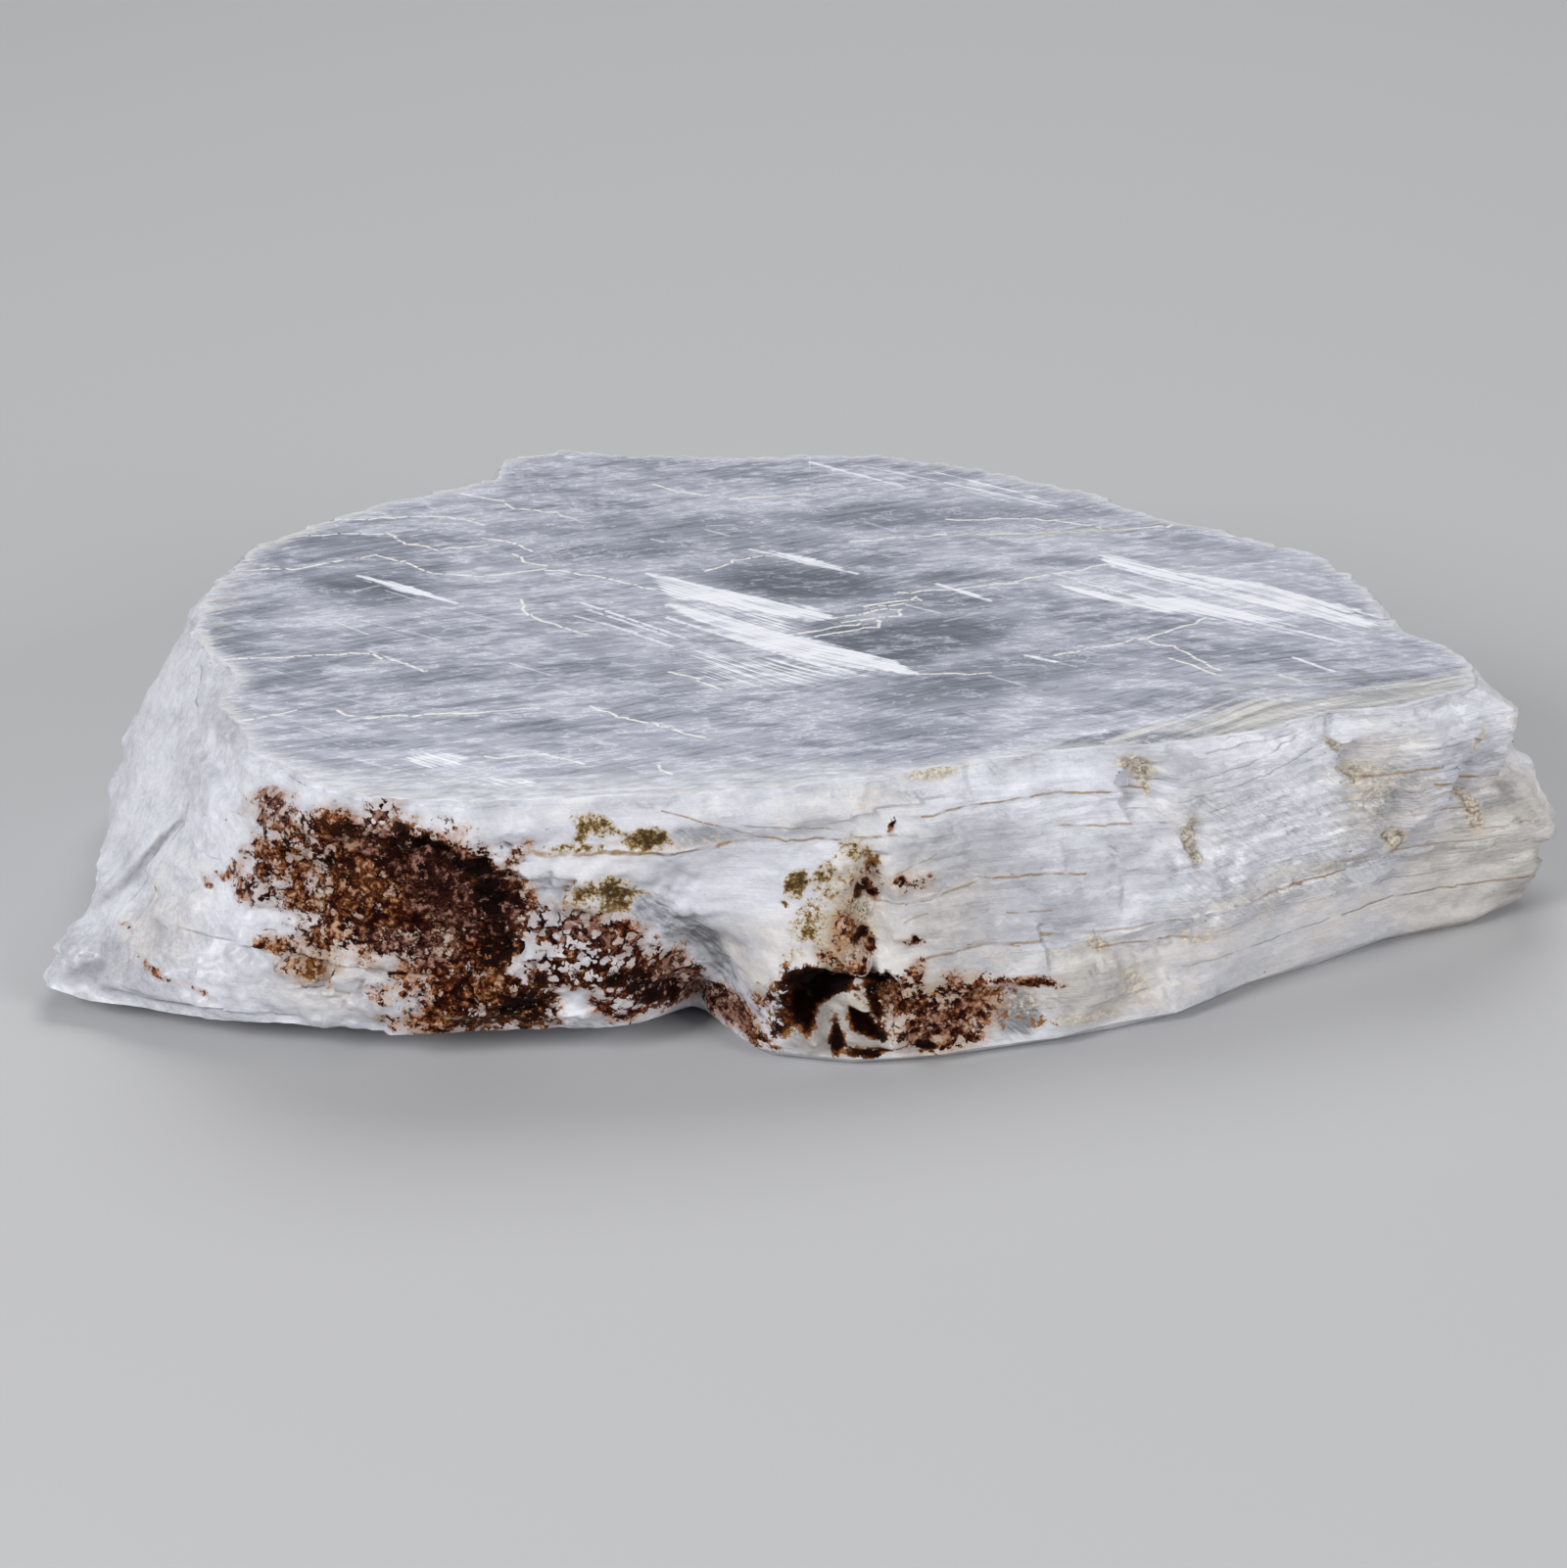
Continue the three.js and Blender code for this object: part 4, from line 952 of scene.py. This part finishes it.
WHITE = [  # where the crystal is milk-white
    (173.3, 9.4, 30, 2.6, 0.9, 0.7), (175.6, 7.6, -50, 2.2, 1.0, 0.4), (179, 9.4, -28, 2.4, 0.8, 0.7),
    (186, 9, 0, 5, 4, 0.4), (312, 28, 0, 8, 10, 0.5), (150, 43, 0, 34, 2.5, 0.2), (66, 30, 0, 10, 14, 0.35),
    (20, 25, 0, 30, 20, 0.2), (158, 27, 0, 9, 7, 0.25), (213, 40, 0, 16, 4, 0.35),
    (250, 28, 0, 18, 10, 0.42), (250, 41, 0, 12, 4, 0.4), (258, 8, 0, 20, 5, 0.25), (131, 9, 0, 4, 3, 0.6),
    (120, 5, 0, 5, 1.6, 0.3), (215, 31, 0, 6, 6, 0.25), (134, 35, 0, 9, 1.5, 0.3),
    (262, 43, 0, 6, 2.5, 0.4), (300, 40, 0, 10, 5, 0.6), (90, 44.5, 0, 14, 1.2, 0.3),
]
DULL = [  # where it is duller and greyer
    (245, 25, 0, 60, 30, 0.12), (60, 8, 0, 10, 6, 0.3), (84, 9, 0, 10, 6, 0.22), (178, 26, 80, 10, 4, 0.35),
    (98, 6, 0, 26, 4, 0.4), (197, 22, 0, 8, 12, 0.2), (145, 33, 0, 8, 3, 0.2), (154, 40, 0, 6, 2.5, 0.5),
    (160, 18, 0, 5, 6, 0.35), (228, 12, 0, 10, 5, 0.2), (205, 26, 0, 18, 14, 0.42),
    (169, 4.6, 40, 3, 1.8, 0.7), (176, 7, 0, 8, 5, 0.6), (272, 32, 0, 6, 8, 0.35),
    (170, 40, 0, 12, 2.5, 0.3), (290, 32, 0, 8, 8, 0.2), (68, 15, 0, 12, 4, 0.3),
]
SEAMS = [  # strength (with a minus: a grey crack, not a brown seam), half thickness, corners
    (0.85, 0.4, [(190, 39.3), (200, 40.1), (212, 40.1), (231, 38.7)]),
    (0.75, 0.35, [(213, 34.8), (222, 34.1), (232, 34.0)]),
    (0.55, 0.3, [(232, 34.0), (240, 34.6), (248, 35.4)]),
    (0.8, 0.42, [(265, 34.6), (274, 34.9), (283, 34.4)]),
    (0.8, 0.35, [(184, 25.8), (191, 26.2), (198, 27.6), (200, 28.4)]),
    (0.9, 0.38, [(199, 28.4), (208, 28.0), (217, 27.0)]), (0.5, 0.3, [(191, 21.2), (198, 22.3)]),
    (0.7, 0.3, [(203, 22.4), (210, 22.1)]),
    (0.85, 0.42, [(188, 16.4), (193, 17.6), (198, 18.3), (208, 17.9)]),
    (0.95, 0.6, [(196, 18.4), (204, 17.8)]), (0.95, 0.55, [(208, 18.6), (213, 18.2), (217, 17.6)]),
    (0.6, 0.4, [(217, 17.6), (236, 17.2)]), (0.6, 0.4, [(242, 17.7), (255, 17.2)]),
    (0.85, 0.42, [(252, 17.2), (268, 18.0)]), (0.8, 0.4, [(217, 14.9), (228, 14.2), (236, 13.4)]),
    (0.9, 0.42, [(281, 31.6), (287, 31.2), (293, 30.4)]), (0.6, 0.32, [(293, 30.4), (306, 29.0)]),
    (0.75, 0.35, [(282, 26.6), (291, 25.4)]), (0.55, 0.35, [(266, 19.8), (296, 19.2)]),
    (-0.5, 0.3, [(232, 9.0), (250, 8.8), (265, 9.5)]), (-0.85, 0.35, [(268, 9.5), (280, 10.2), (295, 9.8)]),
    (0.8, 0.4, [(290, 9.9), (303, 8.9), (312, 5.4)]), (-0.5, 0.28, [(275, 13.6), (300, 13.3)]),
    (0.85, 0.6, [(122, 38.2), (130, 37.4), (138, 37.3)]),
    (1.0, 0.6, [(137, 37.4), (145, 37.0), (150, 36.8)]),
    (0.9, 0.5, [(149, 36.8), (156, 37.4), (162, 38.6)]),
    (0.8, 0.3, [(148, 44.0), (156, 41.4), (162, 39.2)]),
    (0.85, 0.4, [(161, 39.2), (168, 38.0), (176, 37.4), (189, 36.6)]),
    (0.7, 0.28, [(160, 41.0), (170, 39.9), (178, 38.4)]), (0.6, 0.3, [(182, 26.0), (192, 26.6)]),
    (0.6, 0.4, [(116, 39.0), (124, 37.4)]), (0.5, 0.28, [(288, 22.0), (300, 20.5)]),
    (-0.4, 0.3, [(48, 31), (50, 24), (52, 16)]), (-0.5, 0.3, [(51, 31), (53, 24), (57, 15)]),
    (-0.6, 0.3, [(18, 46), (32, 40)]), (-0.5, 0.3, [(240, 44), (258, 44.6)]),
    (-0.4, 0.3, [(210, 6), (222, 7)]), (-0.5, 0.3, [(232, 40), (246, 41.5), (262, 45)]),
    (-0.5, 0.3, [(234, 37), (250, 39), (262, 42)]), (0.8, 0.4, [(322, 30), (345, 31.5), (372, 30.5)]),
    (0.7, 0.35, [(392, 20), (420, 21.5), (446, 20.6)]), (0.75, 0.4, [(350, 14), (372, 13), (399, 14.5)]),
    (0.7, 0.35, [(440, 36), (462, 35), (490, 36)]), (-0.6, 0.35, [(410, 30), (452, 31)]),
    (0.8, 0.4, [(-150, 27), (-128, 28.4), (-102, 27.5)]), (0.7, 0.35, [(-112, 14), (-88, 13), (-61, 14.2)]),
    (0.7, 0.35, [(-84, 37), (-66, 36), (-47, 36.8)]), (-0.6, 0.35, [(-60, 24), (-34, 23.4)]),
    (0.6, 0.3, [(-40, 9), (-22, 9.6)]), (0.5, 0.3, [(186, 31), (192, 33)]),
    (0.5, 0.3, [(186, 23), (190, 24)]), (-0.4, 0.3, [(60, 8), (80, 5)]),
]


stains_and_painted_light = {"rust": RUST, "mauve": MAUVE, "chips": CHIPS, "olive": OLIVE}
stains_and_painted_light.update({"smoke_and_step_shade": SMOKE_AND_STEP_SHADE, "clay": CLAY, "warm": WARM})
for patch_name, spots in stains_and_painted_light.items():
    note(patch_name, patches(spots, slab_along, slab_height))
# Soot crusts, and painted shade inside the hollow at the foot, kept in one mask.
note("soot_and_hollow_shade", np.maximum(patches(SOOT, slab_along, slab_height), inlaid(HOLLOW_SHADE_AND_STAIN, slab_along, slab_height)))
silky = 0.45 * between(slab_along, -70, 72, 5)
pearly_scales = between(slab_along, 236, 276, 6) * between(slab_height, 16, 36, 2)
note("scaly", np.maximum(pearly_scales, silky))
note("milk", patches(WHITE, slab_along, slab_height) - patches(DULL, slab_along, slab_height))
for wall_name, on_wall, elsewhere in (("layered", layered, 0.0), ("busy", busy, 1.0)):
    everywhere = np.full(len(points), elsewhere)
    everywhere[ROUND_STEPS * COLUMNS:len(wall_points)] = on_wall.ravel()
    note(wall_name, everywhere)
wall_where = np.stack([slab_along, slab_height], axis=1)[loop_point]
wall_where[:, 0] -= girth * np.round((wall_where[:, 0] - wall_where[first_loop, 0][loop_face]) / girth)
wall_lines = [(strength, SEAM_SHARE * width, crooked(corners, LINE_PACE, SEAM_SWAY, seed))
              for seed, (strength, width, corners) in enumerate(SEAMS)]
note("wall_line", nearest_lines(wall_lines, wall_where, finish == 1), "CORNER")

tree, skin = new_finish("Broken wall")
place = read(tree, "plan", "Vector")


def speckle(tree, place, size, detail, roughness):
    """Noise all round, its size given in millimetres along X and Y and upwards."""
    sized = vector(tree, "DIVIDE", place, size)
    values = {"Vector": sized, "Scale": 1.0, "Detail": detail, "Roughness": roughness}
    return add(tree, "ShaderNodeTexNoise", values).outputs[0]


def facets(tree, place, size):
    """Cells of a broken surface: a number for each, 0 in its middle to 1 far out, and a height that
    tilts each its own way: (place - cell's middle) . (cell's colour - 1/2)."""
    sized = vector(tree, "DIVIDE", place, size)
    cell = add(tree, "ShaderNodeTexVoronoi", {"Vector": sized, "Scale": 1.0}).outputs
    reach = vector(tree, "SUBTRACT", sized, cell["Position"])
    lean = vector(tree, "SUBTRACT", cell["Color"], (0.5, 0.5, 0.5))
    tilt = vector(tree, "DOT_PRODUCT", reach, lean, output="Value")
    number = add(tree, "ShaderNodeSeparateColor", {0: cell["Color"]}).outputs[0]
    return number, cell["Distance"], tilt


lamina = speckle(tree, place, (9, 9, 0.4), 3, 0.65)
crumb = speckle(tree, place, (1.0, 1.0, 0.9), 4, 0.75)
band, mottle, flake, clot = read(tree, "band"), read(tree, "mottle"), read(tree, "flake"), read(tree, "clot")
shaken = add(tree, "ShaderNodeTexNoise", {"Vector": place, "Scale": 0.7, "Detail": 1.0}).outputs["Color"]
shaken = vector(tree, "MULTIPLY_ADD", shaken, (1.8, 1.8, 1.8), place)
crystal_number, crystal_reach, crystal_tilt = facets(tree, shaken, (1.7, 1.7, 1.5))
plate_number, _, plate_tilt = facets(tree, shaken, (4.2, 4.2, 1.15))
crystal_edge = curved(tree, crystal_reach, 0.38, 0.66)
slant = grain(tree, read(tree, "unrolled", "Vector"), -42, (3.6, 0.62), 4, 0.65)
scaly_place = read(tree, "scaly")
at_left = curved(tree, read(tree, "along"), 95, 65)

striped, unrest = read(tree, "layered"), read(tree, "busy")
tone = sway(
    tree, scaled(tree, read(tree, "milk"), 0.5, 0.55),
    (mottle, scaled(tree, unrest, 0.5, 0.2)),
    (flake, 0.3),
    (crumb, scaled(tree, at_left, 0.45, 0.22)),
    (plate_number, scaled(tree, striped, 0.16, 0.07)),
    (lamina, scaled(tree, striped, 0.34, 0.12)),
    (band, scaled(tree, striped, 0.25, 0.05)),
    (slant, scaled(tree, scaly_place, 0.5, 0.15)))
SILKY_WHITES = ((0.0, (0.28, 0.285, 0.312)), (0.35, (0.475, 0.482, 0.525)), (0.65, (0.68, 0.69, 0.745)),
                (1.0, (0.885, 0.895, 0.96)))
BEIGES = ((0.1, (0.30, 0.265, 0.225)), (0.6, (0.61, 0.565, 0.515)), (1.0, (0.86, 0.82, 0.78)))
warmth = curved(tree, sway(tree, read(tree, "warm"), (mottle, 1.0), (flake, 0.6)), 0.1, 1.1, 0.0, 0.8)
colour = mixed(tree, warmth, ramp(tree, tone, *SILKY_WHITES), ramp(tree, tone, *BEIGES))

# Smoky spots, and painted shade at the cleavage steps, are streaked but at the left, and clay lies in the
# pits.
smoke_and_step_shade = read(tree, "smoke_and_step_shade")
smoke_and_shade_streaks = times(tree, smoke_and_step_shade, scaled(tree, at_left, -1.8, 2.2))
streaky = times(tree, calc(tree, "SUBTRACT", slant, 0.5), smoke_and_shade_streaks)
smoke_and_step_shade = sway(tree, calc(tree, "ADD", smoke_and_step_shade, streaky), (flake, 0.9), (crumb, 1.1))
colour = mixed(tree, curved(tree, smoke_and_step_shade, 0.2, 1.3, 0.0, 0.85), colour, (0.135, 0.14, 0.155, 1))
dusty = curved(tree, sway(tree, read(tree, "clay"), (crumb, 1.8), (flake, 0.6)), 0.25, 0.8, 0.0, 0.9)
CLAYS = ((0.34, (0.075, 0.052, 0.031)), (0.44, (0.29, 0.235, 0.165)), (0.56, (0.66, 0.59, 0.49)))
colour = mixed(tree, dusty, colour, ramp(tree, crumb, *CLAYS))

# Brown seams lie between the sheets, grey cracks cross them; both waver with the flakes.
lines, is_seam = line_mask(tree, "wall_line", times(tree, calc(tree, "SUBTRACT", crumb, 0.5), 1.6))
lines = times(tree, lines, curved(tree, clot, 0.34, 0.56, 0.2, 1.0))
seam_tone = ramp(tree, clot, (0.35, (0.15, 0.075, 0.032)), (0.65, (0.34, 0.23, 0.125)))
line_colour = mixed(tree, is_seam, (0.20, 0.20, 0.21, 1), seam_tone)
colour = mixed(tree, lines, colour, line_colour)

# Olive specks: a brown haze, and dark grains where it is thickest.
olive_amount = read(tree, "olive")
olive = sway(tree, olive_amount, (crumb, 2.6), (clot, 1.1))
olive = times(tree, olive, curved(tree, olive_amount, 0.02, 0.25))
colour = mixed(tree, curved(tree, olive, 0.12, 0.62, 0.0, 0.7), colour, (0.43, 0.315, 0.165, 1))
OLIVES = ((0.32, (0.35, 0.235, 0.095)), (0.45, (0.165, 0.098, 0.03)), (0.62, (0.045, 0.024, 0.006)))
olive_tone = ramp(tree, times(tree, olive, 0.6), *OLIVES)
colour = mixed(tree, curved(tree, olive, 0.52, 0.64), colour, olive_tone)

# Rust: stained crystals with clean ones between, amber and pitted, or dull and pinkish on the bulges,
# where lighter pink is painted highlight. Among chips of crystal it keeps to the gaps. Soot is amber
# where thin and black where thick; the same tones paint shade into the hollow at the foot.
rust_amount, chips = read(tree, "rust"), read(tree, "chips")
in_rust = curved(tree, rust_amount, 0.03, 0.22)
pits = speckle(tree, place, (1.5, 1.5, 1.3), 4, 0.7)
patchy_rust = sway(tree, rust_amount, (clot, 0.9))
glow = times(tree, in_rust, curved(tree, sway(tree, patchy_rust, (crumb, 1.0)), 0.0, 0.65, 0.0, 0.8))
glow = times(tree, glow, scaled(tree, chips, -0.6, 1.0))
colour = mixed(tree, glow, colour, (0.40, 0.225, 0.128, 1))
rust = sway(tree, patchy_rust, (crystal_number, 0.5), (crumb, 2.2), (slant, 0.8))
network = times(tree, crystal_edge, curved(tree, patchy_rust, 0.3, 0.55))
rust = scaled(tree, network, scaled(tree, chips, 0.75, 0.3), rust)
rust = scaled(tree, chips, -0.34, rust)
rust_mask = times(tree, curved(tree, rust, 0.47, 0.6), in_rust)
depth = scaled(tree, rust_amount, -0.22, sway(tree, 0.68, (pits, 2.4), (clot, 0.6)))
depth = scaled(tree, chips, -0.12, depth)
AMBERS = ((0.37, (0.009, 0.0006, 0.0003)), (0.52, (0.042, 0.0065, 0.0016)), (0.64, (0.125, 0.034, 0.009)),
          (0.78, (0.28, 0.118, 0.046)), (0.95, (0.50, 0.33, 0.235)))
MAUVES_AND_HIGHLIGHTS = ((0.37, (0.009, 0.0006, 0.0005)), (0.51, (0.034, 0.0075, 0.0045)), (0.63, (0.10, 0.038, 0.027)),
          (0.80, (0.33, 0.175, 0.135)))
# Mauve rust: black in its pits, with lighter pink tones painted on as highlights.
mauve_depth_and_highlight = sway(tree, 0.68, (clot, 0.7), (pits, 2.0), (crumb, 1.0))
mauve_depth_and_highlight = scaled(tree, rust_amount, -0.16, mauve_depth_and_highlight)
pinkish = curved(tree, sway(tree, read(tree, "mauve"), (clot, 0.8)), 0.25, 0.75, 0.0, 0.9)
rust_tone = mixed(tree, pinkish, ramp(tree, depth, *AMBERS), ramp(tree, mauve_depth_and_highlight, *MAUVES_AND_HIGHLIGHTS))
colour = mixed(tree, rust_mask, colour, rust_tone)
# Soot, and painted shade inside the hollow at the foot: amber where thin, black where thick.
soot_and_shade_amount = sway(tree, read(tree, "soot_and_hollow_shade"), (clot, 0.8))
soot_and_hollow_shade = curved(tree, sway(tree, soot_and_shade_amount, (crumb, 1.2), (pits, -1.8)), 0.47, 0.63)
soot_and_shade_depth = scaled(tree, rust_amount, 0.3, times(tree, sway(tree, soot_and_shade_amount, (pits, 1.5)), 0.7))
SOOT_AND_SHADE_TONES = ((0.36, (0.25, 0.105, 0.032)), (0.48, (0.08, 0.022, 0.006)), (0.60, (0.019, 0.004, 0.0013)),
         (0.80, (0.004, 0.0008, 0.0004)))
colour = mixed(tree, soot_and_hollow_shade, colour, ramp(tree, soot_and_shade_depth, *SOOT_AND_SHADE_TONES))
stain_and_shade = larger(tree, larger(tree, rust_mask, soot_and_hollow_shade), glow)

fine_relief = times(tree, lamina, scaled(tree, striped, 0.5, 0.15))
for bumps, amount in (
        (plate_tilt, scaled(tree, striped, 0.5, 0.12)),
        (slant, times(tree, scaly_place, 0.5)),
        (crystal_tilt, times(tree, rust_amount, 0.9)),
        (pits, times(tree, rust_amount, 0.9)),
        (crumb, scaled(tree, rust_amount, 0.5, 0.3))):
    fine_relief = scaled(tree, bumps, amount, fine_relief)
dress(tree, skin, colour, scaled(tree, flake, 0.5, 0.15), fine_relief, 0.8, 0.0008)
pearly = scaled(tree, scaly_place, 0.25, 0.32)
tree.links.new(times(tree, calc(tree, "SUBTRACT", 1.0, stain_and_shade), pearly), skin.inputs["Coat Weight"])
skin.inputs["Specular IOR Level"].default_value = 0.05
skin.inputs["Coat Roughness"].default_value = 0.27
skin.inputs["Subsurface Weight"].default_value = 0.06
skin.inputs["Subsurface Radius"].default_value = (0.002, 0.002, 0.0024)
skin.inputs["Subsurface Scale"].default_value = 1.0


# ------------------------------------------------------------------------------------------------
# The sole: the second cleavage plane. It is scuffed by the shelves it has lain on, so it is duller.

tree, skin = new_finish("Cleavage plane of the sole")
place = read(tree, "plan", "Vector")
sole_clouds = grain(tree, place, -20, (36, 14), 4)
sole_streaks = grain(tree, place, -37, (30, 1.4), 4)
scuffs = grain(tree, place, 60, (12, 0.3), 3)
sole_tone = sway(tree, 0.5, (sole_clouds, 0.9), (sole_streaks, 0.6), (scuffs, 0.4))
colour = mixed(tree, curved(tree, sole_tone, 0.1, 0.9), (0.26, 0.27, 0.32, 1), (0.74, 0.75, 0.80, 1))
dress(tree, skin, colour, scaled(tree, scuffs, 0.3, 0.25), sole_streaks, 0.3, 0.0004)


# ------------------------------------------------------------------------------------------------
# The studio: a plain pale floor and broad soft lights.

FLOOR_HALF = 3.0
floor_mesh = bpy.data.meshes.new("studio_floor")
floor_corners = [(FLOOR_HALF * x, FLOOR_HALF * y, 0) for x, y in ((-1, -1), (1, -1), (1, 1), (-1, 1))]
floor_mesh.from_pydata(floor_corners, [], [(0, 1, 2, 3)])
floor = bpy.data.objects.new("studio_floor", floor_mesh)
bpy.context.scene.collection.objects.link(floor)
paper = bpy.data.materials.new("Pale paper")
paper.use_nodes = True
paper.node_tree.nodes["Principled BSDF"].inputs["Base Color"].default_value = (0.50, 0.50, 0.51, 1)
paper.node_tree.nodes["Principled BSDF"].inputs["Roughness"].default_value = 0.9
floor_mesh.materials.append(paper)

world = bpy.data.worlds.new("Studio")
world.use_nodes = True
world.node_tree.nodes["Background"].inputs["Color"].default_value = (0.92, 0.95, 1.0, 1)
world.node_tree.nodes["Background"].inputs["Strength"].default_value = 0.16
bpy.context.scene.world = world
bpy.context.scene.view_settings.view_transform = "Standard"


def softbox(name, place, aim, size, power):
    """A square light at a place, turned towards a point."""
    lamp = bpy.data.lights.new(name, "AREA")
    lamp.shape = "SQUARE"
    lamp.size = size
    lamp.energy = power
    holder = bpy.data.objects.new(name, lamp)
    bpy.context.scene.collection.objects.link(holder)
    holder.location = place
    direction = np.array(aim, float) - np.array(place, float)
    holder.rotation_euler = (np.arctan2(np.hypot(*direction[:2]), -direction[2]), 0,
                             np.arctan2(direction[1], direction[0]) - np.pi / 2)


softbox("key_light", (-0.85, -0.85, 0.7), (0, 0, 0.02), 0.5, 13)
softbox("fill_light", (0.95, -0.85, 0.5), (0, 0, 0.02), 0.6, 9)
softbox("back_light", (0.1, 0.8, 1.2), (0, 0, 0.02), 0.9, 10)

# The camera: a long lens, looking down at 24 degrees from the front.
CAMERA_DISTANCE, CAMERA_TIP = 0.76, np.radians(24)
lens = bpy.data.cameras.new("camera")
lens.lens, lens.sensor_width = 100, 36
camera = bpy.data.objects.new("camera", lens)
bpy.context.scene.collection.objects.link(camera)
aim = (np.array([0, 0, 16.0]) - offset) / 1000
camera.location = aim + CAMERA_DISTANCE * np.array([0, -np.cos(CAMERA_TIP), np.sin(CAMERA_TIP)])
camera.rotation_euler = (np.pi / 2 - CAMERA_TIP, 0, 0)
bpy.context.scene.camera = camera
